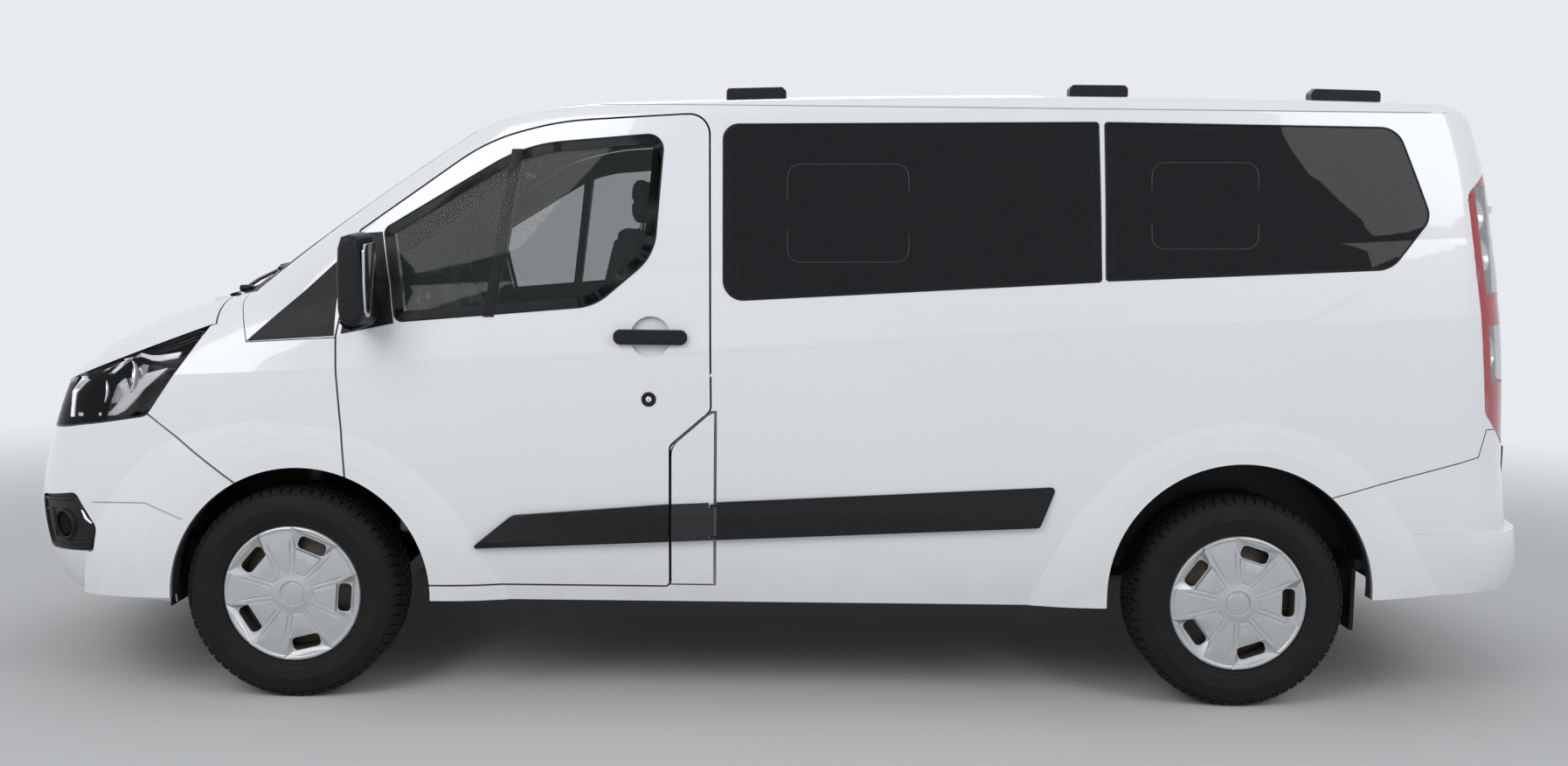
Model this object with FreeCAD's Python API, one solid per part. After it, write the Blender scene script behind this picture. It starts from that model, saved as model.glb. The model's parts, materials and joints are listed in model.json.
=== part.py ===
import FreeCAD, Part
import math, os

V = FreeCAD.Vector

# overall sizes of the vehicle
half_length = 2486.5
front_axle_x = -1456.5
rear_axle_x = 1476.5
wheel_r = 330.0
front_wheel_y = 868.0
rear_wheel_y = 860.0
mirror_tip_y = 1136.0

# wall thicknesses
wall_t = 60.0
panel_t = 30.0
lid_t = 16.0
roof_t = 50.0
glass_t = 8.0

# clearances
door_gap = 6.0
panel_gap = 3.0
running_gap = 0.4
edge_set_back = 12.0

# wheel arches
front_arch_x = -1423.0
front_arch_z = 330.0
front_arch_r = 400.0
rear_arch_x = 1468.0
rear_arch_z = 365.0
rear_arch_r = 408.0
flare_y = 989.0

# widest trim on each side
trim_y = 993.0

# body heights
sill_z = 320.0
door_sill_z = 371.0
floor_z = 500.0
floor_t = 60.0
shelf_z = 1170.0
cowl_z = 1262.0
seam_y = 148.0
rear_door_y = 717.0
rear_door_z = 575.0
rear_door_top = 1826.0
tail_lamp_y = 748.0

# hinge lines
front_hinge = (-1303.0, 990.0)
rear_hinge_foot = V(2376.0, -717.0, 575.0)
rear_hinge_lean = math.radians(5.85)
rear_hinge_heights = (750.0, 1511.0)
hood_hinge_x = -1680.0
hood_hinge_z = 1240.0
flap_hinge = (-158.0, -985.0)
hinge_pin_r = 5.0
flap_pin_r = 2.5

# level, tilt, nose_x, nose_r, corner_r, side_r, turn, half_width, tail_x, tail_corner_r, tail_r
lower_levels = [
    (270, 0.0, -2350, 2000, 400, 5000, 83, 943, 2380, 240, 6000),
    (400, .004, -2452, 2000, 400, 5000, 83, 966, 2392, 240, 6000),
    (520, .012, -2478, 2000, 400, 5000, 83, 976, 2390, 230, 6000),
    (717, .030, -2450, 2000, 400, 5000, 83, 981, 2378, 220, 6000),
    (887, .045, -2400, 1950, 400, 5000, 83, 980, 2362, 210, 6000),
    (975, .0564, -2365, 1900, 390, 5000, 82.5, 977, 2345, 200, 6000),
]
middle_levels = [
    (1016, .0564, -2315, 1850, 380, 4900, 82, 971, 2340, 198, 6000),
    (1088, .0564, -2221, 1700, 370, 4700, 81.5, 960, 2335, 195, 6000),
    (1145, .0564, -2116, 1600, 350, 4500, 81, 951, 2328, 190, 6000),
    (1205, .0564, -1965, 1500, 320, 4300, 80.5, 942, 2321, 188, 6000),
    (1245, .0564, -1800, 1600, 260, 4300, 81, 936, 2315, 185, 6000),
]
upper_levels = [
    (1502, .040, -1420, 2200, 180, 4500, 82, 903, 2290, 170, 6000),
    (1700, .020, -1130, 2300, 160, 4500, 82.5, 872, 2262, 160, 6000),
    (1980, 0.0, -690, 2400, 150, 4500, 83, 822, 2190, 150, 6000),
]
step_levels = [
    (352, 0.0, -2300, 2000, 400, 5000, 83, 960, 2455, 240, 3600),
    (400, 0.0, -2300, 2000, 400, 5000, 83, 966, 2480, 240, 3600),
    (480, 0.0, -2300, 2000, 400, 5000, 83, 975, half_length, 235, 3600),
    (562, 0.0, -2300, 2000, 400, 5000, 83, 978, 2474, 230, 3600),
]
bumper_corner_levels = [
    (562, 0.0, -2300, 2000, 400, 5000, 83, 979, 2420, 230, 5000),
    (640, 0.0, -2300, 2000, 400, 5000, 83, 981, 2410, 225, 5000),
    (760, 0.0, -2300, 2000, 400, 5000, 83, 981, 2390, 220, 5200),
    (890, 0.0, -2300, 2000, 400, 5000, 83, 980, 2362, 210, 6000),
]

# side view outlines: x, z and corner radius
door_line = [
    (-1303, 1131, 0), (-1298, 1012, 60), (-1275, 705, 900), (-1275, 371, 12), (-289, 371, 12),
    (-290, 810, 30), (-165, 919, 30), (-180, 1818, 60), (-637, 1789, 900), (-859, 1730, 900),
    (-1061, 1584, 900), (-1249, 1450, 0),
]
door_glass_line = [
    (-1174, 1456, 25), (-1124, 1177, 25), (-520, 1231, 160), (-341, 1386, 160), (-315, 1757, 45),
    (-743, 1718, 500),
]
sail_line = [(-1290, 1138), (-1130, 1172), (-1180, 1447), (-1243, 1442)]
quarter_line = [(-1583, 1112), (-1312, 1132), (-1312, 1362)]
flap_line = [(-281, 377, 0), (-152, 377, 0), (-152, 911, 0), (-168, 904, 25), (-281, 805, 60)]
flap_tabs = [(524, 532), (622, 630)]
flap_back_y = 948.0
flap_back_top = 840.0
flap_rebate_y = -973.0
flap_rebate_low = 872.0
mid_glass_line = [(-127, 1251, 60), (1018, 1322, 8), (1012, 1804, 8), (-134, 1786, 45)]
rear_glass_line = [(1034, 1325, 8), (1895, 1369, 90), (2016, 1524, 60), (1925, 1798, 70), (1033, 1804, 8)]
headlamp_line = [
    (-2480, 790, 0), (-2217, 827, 400), (-1890, 881, 50), (-1709, 1150, 12), (-2213, 964, 900),
    (-2480, 930, 0),
]
hood_line = [
    (-2480, 936), (-2213, 970), (-1709, 1157), (-1692, 1160), (-1692, 1420), (-2480, 1420),
]
bumper_line = [
    (-2480, 312), (-2196, 310), (-1835, 292), (-1600, 292), (-1610, 672), (-1893, 884),
    (-2213, 960), (-2480, 930),
]
fender_line = [
    (-1607, 678), (-1887, 887), (-1706, 1154), (-1686, 1160), (-1686, 1310), (-1640, 1310),
    (-1586, 1107), (-1296, 1126), (-1290, 1012), (-1262, 705), (-1262, 560),
]
side_line = [
    (-1637, 1310), (-1583, 1110), (-1296, 1129), (-1290, 1012), (-1262, 705), (-1262, 320),
    (1800, 320), (1737, 674), (2184, 802), (2208, 884), (2480, 884), (2480, 1836),
    (2170, 1836), (2150, 1843), (-600, 1843), (-700, 1843), (-860, 1800), (-1010, 1768),
]
roof_line = [
    (-1010, 1768), (-860, 1800), (-700, 1843), (-600, 1843), (2150, 1843), (2170, 1836),
    (2480, 1836), (2480, 2100), (-1010, 2100),
]
rear_bumper_line = [
    (1800, 355), (1876, 355), (2275, 380), (2550, 380), (2550, 881), (2211, 881),
    (2187, 799), (1740, 671),
]
tail_lamp_line = [
    (2131, 1600, 40), (2157, 1339, 600), (2201, 933, 30), (2291, 829, 20), (2480, 870, 0), (2480, 1662, 0),
    (2207, 1662, 30),
]
fog_line = [(-2308, 603, 15), (-2140, 631, 25), (-2066, 524, 30), (-2077, 451, 15), (-2269, 437, 15)]
moulding_line = [
    (-897, 484, 6), (-770, 589, 40), (-289, 629, 0), (-150, 636, 0), (897, 695, 12), (847, 569, 12),
]
mirror_line = [
    (-1254, 1215, 35), (-1246, 1448, 40), (-1176, 1448, 22), (-1167, 1185, 30), (-1200, 1158, 25),
    (-1232, 1162, 25),
]
handle_line = [(-459, 1117, 21), (-235, 1117, 21), (-235, 1163, 21), (-459, 1163, 21)]
slide_door_line = [(-146, 371), (1026, 371), (1026, 1826), (-146, 1826)]

# front view outlines, y and z
windshield_line = [(-741, 1262), (741, 1262), (680, 1768), (-680, 1768)]
grille_line = [(-520, 800), (520, 800), (430, 440), (-430, 440)]
slot_line = [(-470, 915), (470, 915), (430, 862), (-430, 862)]
intake_line = [(-560, 398), (560, 398), (520, 338), (-520, 338)]
rear_glass_left = [(-655, 1200), (85, 1200), (85, 1715), (-625, 1715)]
rear_glass_right = [(211, 1200), (655, 1200), (625, 1715), (211, 1715)]

# roof rack covers: first x, last x and height of the bolt seat
rack_feet = [(-131, 57, 1911), (946, 1128, 1931), (1703, 1921, 1925)]
rack_y = 710.0
rack_bolt_r = 4.0
rack_bolt_depth = 16.0

# number plate seats
front_plate = (-262, 262, 402, 514)
rear_plate = (-560, -30, 785, 910)
rear_plate_x = 2330.0

# seats: centre y, back x, width
front_seat_places = [(-430, -560, 500), (430, -560, 500)]
rear_seat_places = [(0, 360, 1240), (0, 1240, 1240)]


def box(x0, x1, y0, y1, z0, z1):
    return Part.makeBox(x1 - x0, y1 - y0, z1 - z0, V(x0, y0, z0))


def cylinder(x, y0, y1, z, r):
    return Part.makeCylinder(r, y1 - y0, V(x, y0, z), V(0, 1, 0))


def post(x, y, z0, z1, r):
    return Part.makeCylinder(r, z1 - z0, V(x, y, z0), V(0, 0, 1))


def prism(points, start, end, plane):
    place = {
        "xz": lambda a, b: V(a, start, b),
        "yz": lambda a, b: V(start, a, b),
        "xy": lambda a, b: V(a, b, start),
    }[plane]
    run = {"xz": V(0, end - start, 0), "yz": V(end - start, 0, 0), "xy": V(0, 0, end - start)}[plane]
    corners = [place(p[0], p[1]) for p in points]
    radii = [p[2] if len(p) > 2 else 0 for p in points]
    return Part.Face(rounded_outline(corners, radii)).extrude(run)


def rounded_outline(corners, radii):
    bends = []
    for i, here in enumerate(corners):
        back = corners[i - 1] - here
        ahead = corners[(i + 1) % len(corners)] - here
        half = back.getAngle(ahead) / 2
        reach = min(radii[i] / math.tan(half), 0.48 * back.Length, 0.48 * ahead.Length)
        if reach < 0.5:
            bends.append((here, None, here))
            continue
        back.normalize()
        ahead.normalize()
        inward = (back + ahead).normalize()
        depth = reach / math.cos(half) - reach * math.tan(half)
        bends.append((here + back * reach, here + inward * depth, here + ahead * reach))
    edges = []
    for i, (start, middle, end) in enumerate(bends):
        if middle is not None:
            edges.append(three_point(start, middle, end))
        after = bends[(i + 1) % len(bends)][0]
        if (after - end).Length > 0.01:
            edges.append(Part.makeLine(end, after))
    return Part.Wire(edges)


def grown(points, distance):
    area = sum(p[0] * q[1] - q[0] * p[1] for p, q in zip(points, points[1:] + points[:1]))
    side = 1 if area > 0 else -1
    moved = []
    for i, here in enumerate(points):
        before = points[i - 1]
        after = points[(i + 1) % len(points)]
        a = V(here[0] - before[0], here[1] - before[1], 0).normalize()
        b = V(after[0] - here[0], after[1] - here[1], 0).normalize()
        na = V(a.y, -a.x, 0) * side
        nb = V(b.y, -b.x, 0) * side
        shift = (na + nb) * (distance / (1 + na.dot(nb)))
        bulge = 1 if a.cross(b).z * side > 0 else -1
        radius = here[2] + bulge * distance if len(here) > 2 and here[2] else 0
        moved.append((here[0] + shift.x, here[1] + shift.y, max(radius, 0)))
    return moved


def rod(start, direction, length, r):
    return Part.makeCylinder(r, length, start, direction)


def mirrored(shape):
    return shape.mirror(V(0, 0, 0), V(0, 1, 0))


def both(shape):
    return [shape, mirrored(shape)]


def three_point(a, b, c):
    return Part.Arc(a, b, c).toShape()


def plan(level, t):
    z, tilt, nose_x, nose_r, corner_r, side_r, turn, half, tail_x, tail_corner_r, tail_r = level
    lean = math.atan(tilt)
    start = t
    nose_r -= t
    corner_r -= t
    side_r -= t
    half -= t
    tail_corner_r -= t
    tail_r -= t
    turn = math.radians(turn)
    rise = (half - corner_r * math.sin(turn) - side_r * (1 - math.sin(turn))) / (nose_r - corner_r)
    first = math.asin(rise)
    end_x = (tail_x - nose_x) / math.cos(lean) - t
    p1 = V(start + nose_r * (1 - math.cos(first)), -nose_r * rise, 0)

    def on_corner(a):
        x = p1.x + corner_r * (math.cos(first) - math.cos(a))
        return V(x, p1.y - corner_r * (math.sin(a) - rise), 0)

    p2 = on_corner(turn)

    def on_side(a):
        x = p2.x + side_r * (math.cos(turn) - math.cos(a))
        return V(x, p2.y - side_r * (math.sin(a) - math.sin(turn)), 0)

    p3 = on_side(math.pi / 2)
    fall = (half - tail_corner_r) / (tail_r - tail_corner_r)
    last = math.asin(fall)
    p5 = V(end_x - tail_r * (1 - math.cos(last)), -tail_r * fall, 0)
    centre = V(p5.x - tail_corner_r * math.cos(last), tail_corner_r - half, 0)
    p4 = V(centre.x, -half, 0)
    mid = (last + math.pi / 2) / 2
    m5 = V(centre.x + tail_corner_r * math.cos(mid), centre.y - tail_corner_r * math.sin(mid), 0)
    mc = on_corner((first + turn) / 2)
    ms = on_side((turn + math.pi / 2) / 2)

    def over(p):
        return V(p.x, -p.y, 0)

    wire = Part.Wire([
        three_point(over(p1), V(start, 0, 0), p1),
        three_point(p1, mc, p2),
        three_point(p2, ms, p3),
        Part.makeLine(p3, p4),
        three_point(p4, m5, p5),
        three_point(p5, V(end_x, 0, 0), over(p5)),
        three_point(over(p5), over(m5), over(p4)),
        Part.makeLine(over(p4), over(p3)),
        three_point(over(p3), over(ms), over(p2)),
        three_point(over(p2), over(mc), over(p1)),
    ])
    wire.rotate(V(0, 0, 0), V(0, 1, 0), -math.degrees(lean))
    wire.translate(V(nose_x, 0, z))
    return wire


def stacked(levels, t):
    return Part.makeLoft([plan(level, t) for level in levels], True, False)


# roof profile: start point, heading in degrees, then radius and next heading
roof_start = (-992, 1786)
roof_heading = 24.0
roof_arcs = [(1300, 2.85), (32750, 0.0), (45360, -1.2), (260, -60)]
roof_top = 1938.0
roof_crown_r = 6500.0
roof_half_sweep = 12.5


def roof_cutter(drop):
    p = V(roof_start[0], 0, roof_start[1] - drop)
    h = roof_heading
    far = V(p.x - 500, 0, p.z - 500 * math.tan(math.radians(h)))
    edges = [Part.makeLine(far, p)]
    for r, after in roof_arcs:
        def at(a):
            turn, back = math.radians(a), math.radians(h)
            x = p.x + r * (math.sin(back) - math.sin(turn))
            return V(x, 0, p.z + r * (math.cos(turn) - math.cos(back)))
        q = at(after)
        edges.append(three_point(p, at((h + after) / 2), q))
        p, h = q, after
    end = V(p.x + 300, 0, p.z - 300 * math.tan(math.radians(60)))
    low = 150
    edges += [
        Part.makeLine(p, end),
        Part.makeLine(end, V(end.x, 0, low)),
        Part.makeLine(V(end.x, 0, low), V(far.x, 0, low)),
        Part.makeLine(V(far.x, 0, low), far),
    ]
    face = Part.Face(Part.Wire(edges))
    hub = V(0, 0, roof_top - drop - roof_crown_r)
    face.rotate(hub, V(1, 0, 0), -roof_half_sweep)
    crown = face.revolve(hub, V(1, 0, 0), 2 * roof_half_sweep)
    ahead = box(far.x - 3000, far.x, -1200, 1200, -100, 1800)
    under = box(far.x - 500, far.x + 5500, -1200, 1200, -100, 600)
    return crown.fuse([ahead, under])


def hull(t, drop):
    parts = [
        stacked(lower_levels, t),
        stacked([lower_levels[-1]] + middle_levels, t),
        stacked([middle_levels[-1]] + upper_levels, t),
    ]
    whole = parts[0].fuse(parts[1:]).removeSplitter()
    return whole.common(roof_cutter(drop))


def roof_edges(shape):
    edges = []
    for e in shape.Edges:
        b = e.BoundBox
        side = b.ZMin > 1770 and b.XMax > -990 and b.XMin > -995 and b.YMax - b.YMin < 200
        back = b.XMin > 2190 and b.ZMin > 1800
        if side or back:
            edges.append(e)
    return edges


def flare(x, z, r):
    profile = [(r - 5, flare_y), (r + 44, flare_y), (r + 100, flare_y - 4), (r + 150, flare_y - 11),
               (r + 230, flare_y - 30), (r + 290, flare_y - 60), (r + 290, 900), (r - 5, 900)]
    corners = [V(x + a, -b, z) for a, b in profile]
    ring = Part.Face(Part.makePolygon(corners + corners[:1])).revolve(V(x, 0, z), V(0, 1, 0), 360)
    return ring.common(box(x - 700, x + 700, -1100, -800, sill_z, z + 900))


def arch_cut(x, z, r, inner_y):
    hole = cylinder(x, -1100, -inner_y, z, r)
    return hole.fuse(box(x - r, x + r, -1100, -inner_y, -50, z))


def save(name, shapes):
    solids = []
    for s in shapes:
        solids += [k for k in s.Solids if k.Volume > 50]
    shape = solids[0] if len(solids) == 1 else Part.makeCompound(solids)
    shape.exportStep("parts/" + name + ".step")
    b = shape.BoundBox
    print(name, len(solids), shape.isValid(), round(shape.Volume / 1e6, 2),
          [round(v) for v in (b.XMin, b.XMax, b.YMin, b.YMax, b.ZMin, b.ZMax)], flush=True)
    return shape


os.makedirs("parts", exist_ok=True)

# body volumes that everything is cut from
plain_hull = hull(0.0, 0.0)
rounded = plain_hull.makeFillet(60, roof_edges(plain_hull))
front_flare = flare(front_arch_x, front_arch_z, front_arch_r)
rear_flare = flare(rear_arch_x, rear_arch_z, rear_arch_r)
outer = rounded.fuse(both(front_flare) + both(rear_flare))
inner_wall = hull(wall_t, roof_t)
inner_panel = hull(panel_t, roof_t)
inner_lid = hull(lid_t, lid_t)
inner_glass = hull(glass_t, glass_t)

front_arch = arch_cut(front_arch_x, front_arch_z, front_arch_r, 560)
rear_arch = arch_cut(rear_arch_x, rear_arch_z, rear_arch_r, 735)
arches = both(front_arch) + both(rear_arch)

open_hull = outer.cut(arches)
left_half = box(-2600, 2600, -1200, 0, 0, 2100)
left_hull = open_hull.common(left_half)
left_wall = left_hull.cut(inner_wall)
left_lip = left_hull.cut(inner_lid)
left_skin = left_hull.common(box(-1650, 2100, -1200, 0, 1000, 1900)).cut(inner_glass)
left_panel = left_hull.common(box(-2600, -1200, -1200, 0, 200, 1400)).cut(inner_panel)


def cut_side(points):
    return prism(points, -1200, -300, "xz")


# front door with window, sail and handle recess
rear_corners = (4, 5, 6, 7)
core_line = [(x - edge_set_back * (i in rear_corners), z, r) for i, (x, z, r) in enumerate(door_line)]
door_hole = cut_side(grown(door_line, door_gap))
window_hole = cut_side(grown(door_glass_line, -22))
window_pocket = cut_side(grown(door_glass_line, panel_gap)).common(left_skin)
sail_pocket = cut_side(grown(sail_line, 1)).common(left_skin)
handle_cup = cylinder(-347, -1000, -900, 1140, 62).common(left_lip)
door_lip = left_lip.common(cut_side(door_line))
front_door = left_wall.common(cut_side(core_line)).fuse(door_lip)
front_door = front_door.cut([window_hole, window_pocket, sail_pocket, handle_cup])
door_glass = left_skin.common(cut_side(door_glass_line))
divider_line = [(-779, 1722), (-749, 1722), (-824, 1190), (-854, 1190)]
divider = inner_glass.common(cut_side(divider_line)).common(window_hole).cut(inner_wall)
front_door = front_door.fuse(divider)
save("front_left_door", [front_door])
save("front_right_door", [mirrored(front_door)])
save("front_left_door_glass", [door_glass])
save("front_right_door_glass", [mirrored(door_glass)])


def moulding():
    profile = [(-trim_y, 505), (-trim_y, 598), (-trim_y + 10, 700), (-940, 700), (-940, 480),
               (-trim_y + 6, 480)]
    bar = prism(profile, -900, 900, "yz")
    return bar.common(cut_side(moulding_line)).cut(outer)


# black trim on the side
side_moulding = moulding()
door_moulding = side_moulding.common(cut_side(door_line))
flap_moulding = side_moulding.common(cut_side(flap_line))
body_moulding = side_moulding.common(box(-143, 900, -1000, -900, 400, 800))
gap_moulding = side_moulding.common(box(-282, -143, -1000, -900, 400, 800))
flap_x, flap_y = flap_hinge
flap_low, flap_high = flap_tabs[0][0], flap_tabs[1][1]
tabs = [box(flap_x - 4, -140, flap_y - 4, flap_y + 3, low, high) for low, high in flap_tabs]
notches = [box(flap_x - 9, -140, -1000, -970, low - 3, high + 3) for low, high in flap_tabs]
notches += [box(flap_x - 9, -140, -1000, -970, high + 3, 700) for low, high in flap_tabs[1:]]
flap_moulding = flap_moulding.cut(notches)
rear_edge = box(flap_x, -140, -1000, -978, 500, 700).cut(post(flap_x, flap_y, 500, 700, 9))
flap_moulding = flap_moulding.cut([rear_edge, post(flap_x, flap_y, 500, 700, flap_pin_r + running_gap)])
flap_pin = post(flap_x, flap_y, flap_low, flap_high, flap_pin_r)
sail = cut_side(sail_line).common(left_skin)
handle = prism(handle_line, -990, -974, "xz")
handle = handle.makeFillet(6, [e for e in handle.Edges if e.BoundBox.YMax - e.BoundBox.YMin < 1])
handle = handle.fuse([box(-452, -432, -978, -935, 1125, 1155), box(-262, -242, -978, -935, 1125, 1155)])
handle = handle.cut(front_door)
handle = max(handle.Solids, key=lambda s: s.Volume)
mirror_head = prism(mirror_line, -mirror_tip_y, -968, "xz")
flat_edges = [e for e in mirror_head.Edges if e.BoundBox.YMax - e.BoundBox.YMin < 1]
mirror_head = mirror_head.makeFillet(16, flat_edges)
mirror_arm = box(-1243, -1180, -1000, -900, 1185, 1235)
mirror_head = mirror_head.fuse(mirror_arm).cut([front_door, sail])
mirror_head = max(mirror_head.Solids, key=lambda s: s.Volume)
fittings = [door_moulding, sail, handle, mirror_head]
save("front_left_door_fittings", fittings)
save("front_right_door_fittings", [mirrored(s) for s in fittings])

# fuel flap in the left side
fuel_flap = left_lip.common(cut_side(flap_line))
flap_back = left_wall.common(cut_side(grown(flap_line, -18)))
behind = box(-400, 0, -flap_back_y, -700, 300, 1000)
flap_back = flap_back.cut([behind, box(-400, 0, -1000, -700, flap_back_top, 1000)])
flap_rebate = box(-230, -140, flap_rebate_y, -900, flap_rebate_low, 1000)
fuel_flap = fuel_flap.fuse(flap_back).cut(flap_rebate)
flap_hole = cut_side(grown(flap_line, 5.0)).fuse(box(-200, -143, -1200, -900, 372, 918))
flap_hole = flap_hole.cut(box(-400, 0, -938, -300, 300, 1000))
flap_room = [box(flap_x - 9, -140, -1000, flap_y + 6, low - 3, high + 3) for low, high in flap_tabs]
save("fuel_flap", [fuel_flap.fuse(flap_moulding).cut(flap_room)])

# body sides with pillars, sill and rear quarter
side_zone = cut_side(side_line)
front_zone = prism([(-1200, 300), (-744, 300), (-744, 1262), (-683, 1768), (-683, 1900), (-1200, 1900)],
                   -2000, 0, "yz")
rear_zone = box(0, 2600, -1200, -rear_door_y - door_gap, 0, 2100)
mid_hole = cut_side(grown(mid_glass_line, -25))
rear_hole = cut_side(grown(rear_glass_line, -25))
mid_pocket = cut_side(grown(mid_glass_line, panel_gap)).common(left_skin)
rear_pocket = cut_side(grown(rear_glass_line, panel_gap)).common(left_skin)
quarter_pocket = cut_side(grown(quarter_line, 1)).common(left_skin)
tail_zone = cut_side(tail_lamp_line).common(box(1900, 2600, -1200, -tail_lamp_y, 0, 2100))
tail_hole = tail_zone
rear_axis = V(-math.sin(rear_hinge_lean), 0, math.cos(rear_hinge_lean))


def on_rear_axis(z):
    return rear_hinge_foot + rear_axis * ((z - rear_hinge_foot.z) / rear_axis.z)


def rear_rod(low, high, r):
    return rod(on_rear_axis(low), rear_axis, (high - low) / rear_axis.z, r)


leaf_gap = 2.0
body_hinges = []
door_eyes = []
pin_bores = []
body_notches = []
door_notches = []
for z in rear_hinge_heights:
    x = on_rear_axis(z).x
    fixed_y = -rear_door_y - door_gap
    for low, high in ((z - 57, z - 32), (z + 32, z + 57)):
        block = box(x - 40, x + 6, fixed_y - 20, -rear_door_y - leaf_gap, low + 2, high - 2)
        body_hinges.append(rear_rod(low, high, 10).fuse(block))
        door_notches.append(rear_rod(low - 5, high + 5, 16))
    body_hinges.append(rear_rod(z - 40, z + 40, hinge_pin_r))
    leaf = box(x - 40, x + 6, -rear_door_y - 4, -rear_door_y + 24, z - 28, z + 28)
    door_eyes.append(rear_rod(z - 30, z + 30, 10).fuse(leaf))
    pin_bores.append(rear_rod(z - 60, z + 60, hinge_pin_r + running_gap))
    body_notches.append(rear_rod(z - 34, z + 34, 16))
body_side = left_wall.common(side_zone).common(front_zone.fuse(rear_zone))
body_side = body_side.cut([door_hole, rear_hole, rear_pocket, quarter_pocket, tail_hole])
body_side = body_side.cut(body_notches).fuse([h for h in body_hinges if h.BoundBox.ZMin > 1000])
save("body_side_left", [body_side.cut([mid_hole, mid_pocket, flap_hole])])
rail = prism([(1040, 1228), (1990, 1252), (1990, 1282), (1040, 1258)], -1200, -300, "xz").common(left_lip)
side_right = body_side.cut([cut_side(grown(slide_door_line, panel_gap)), rail])
save("body_side_right", [mirrored(side_right)])
sliding_door = left_wall.common(cut_side(slide_door_line)).cut([mid_hole, mid_pocket])
save("sliding_door", [mirrored(sliding_door)])

mid_glass = left_skin.common(cut_side(mid_glass_line))
rear_glass = left_skin.common(cut_side(rear_glass_line))
save("side_glass", both(mid_glass) + both(rear_glass))

# roof, and black trim with the roof rack feet
roof_wall = rounded.common(box(-1100, 2600, -1200, 1200, 1700, 2100)).cut(inner_wall)
save("roof_panel", [roof_wall.common(prism(roof_line, -1200, 1200, "xz"))])
foot_rise = 34.0
foot_top = roof_cutter(-foot_rise)
trim = [body_moulding, left_skin.common(cut_side(quarter_line))]
trim += [mirrored(s) for s in trim + [gap_moulding]]
trim[0] = body_moulding.fuse(tabs + [flap_pin])
for first, last, seat_z in rack_feet:
    middle = (first + last) / 2
    wedge = [(first, 1840), (last, 1840), (last, seat_z - 10), (last - 40, seat_z + 24),
             (first + 40, seat_z + 24), (first, seat_z - 10)]
    foot = prism([(x, z, 14) if z > 1840 else (x, z) for x, z in wedge], -rack_y - 25, 25 - rack_y, "xz")
    foot = foot.common(foot_top).cut(rounded)
    sink = post(middle, -rack_y, seat_z, 2000, 9)
    bolt_hole = post(middle, -rack_y, seat_z - rack_bolt_depth, seat_z, rack_bolt_r)
    trim += both(foot.cut([sink, bolt_hole]))

# front wings
lamp_zone = cut_side(headlamp_line).common(box(-2600, -1600, -1200, -560, 700, 1300))
headlamp = left_wall.common(lamp_zone)
fender = left_panel.common(cut_side(fender_line))
fender = fender.cut([door_hole, box(-1700, -1500, -744, 0, 1000, 1400), lamp_zone])
save("front_fenders", both(fender))

# front bumper, its grilles, and the lamps
bumper_zone = prism(bumper_line, -1200, 1200, "xz")
lamp_hole = prism(grown(headlamp_line, panel_gap), -1200, -557, "xz")
openings = [prism(line, -2600, -1900, "yz") for line in (grille_line, slot_line, intake_line)]
fog_box = box(-2400, -2000, -1200, -560, 400, 700)
fog_hole = cut_side(grown(fog_line, 1)).common(fog_box)
front_shell = left_panel.fuse(mirrored(left_panel))
front_bumper = front_shell.common(bumper_zone).cut(both(lamp_hole) + openings + both(fog_hole))
save("front_bumper", [front_bumper])
nose = box(-2600, -1900, -1200, 1200, 300, 1000)
grille_skin = inner_glass.common(nose).cut(inner_panel)
inserts = []
for line, bars in ((grille_line, 5), (slot_line, 1), (intake_line, 1)):
    field = prism(line, -2600, -1900, "yz")
    rim = field.cut(prism(grown(line, -14), -2600, -1900, "yz"))
    low = min(p[1] for p in line)
    step = (max(p[1] for p in line) - low) / (bars + 1)
    middles = [low + step * (i + 1) for i in range(bars)]
    slats = [box(-2600, -1900, -600, 600, z - 9, z + 9).common(field) for z in middles]
    inserts.append(grille_skin.common(rim.fuse(slats)))
carrier = box(-half_length, -2440, *front_plate).cut(front_bumper)
inserts[0] = inserts[0].fuse(carrier)
bezel = grille_skin.common(cut_side(fog_line).common(fog_box))
fog_bore = cylinder(-2190, -1200, -500, 525, 42)
inserts += both(bezel.cut(fog_bore))
save("front_bumper_grilles", inserts)
fog_lamp = bezel.common(fog_bore)
save("front_lamps", both(headlamp) + both(fog_lamp))
save("tail_lamps", both(left_wall.common(tail_zone)))

# hood, hinged at its rear corners
hood_edge_x = -1870.0
hood_edge_r = 1694.0
hood_zone = prism(hood_line, -1200, 1200, "xz").cut(post(hood_edge_x + hood_edge_r, 0, 0, 2000, hood_edge_r))
front_lip = left_lip.common(box(-2600, -1500, -1200, 0, 800, 1400))
hood_arm = box(-1760, hood_hinge_x, -722, -706, hood_hinge_z - 26, hood_hinge_z - 4)
hood_arm = hood_arm.fuse(cylinder(hood_hinge_x, -722, -706, hood_hinge_z, 10))
hood_bore = cylinder(hood_hinge_x, -800, -600, hood_hinge_z, hinge_pin_r + running_gap)
hood_arm = hood_arm.cut(hood_bore)
save("hood", [front_lip.fuse(mirrored(front_lip)).common(hood_zone).fuse(both(hood_arm))])

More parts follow.
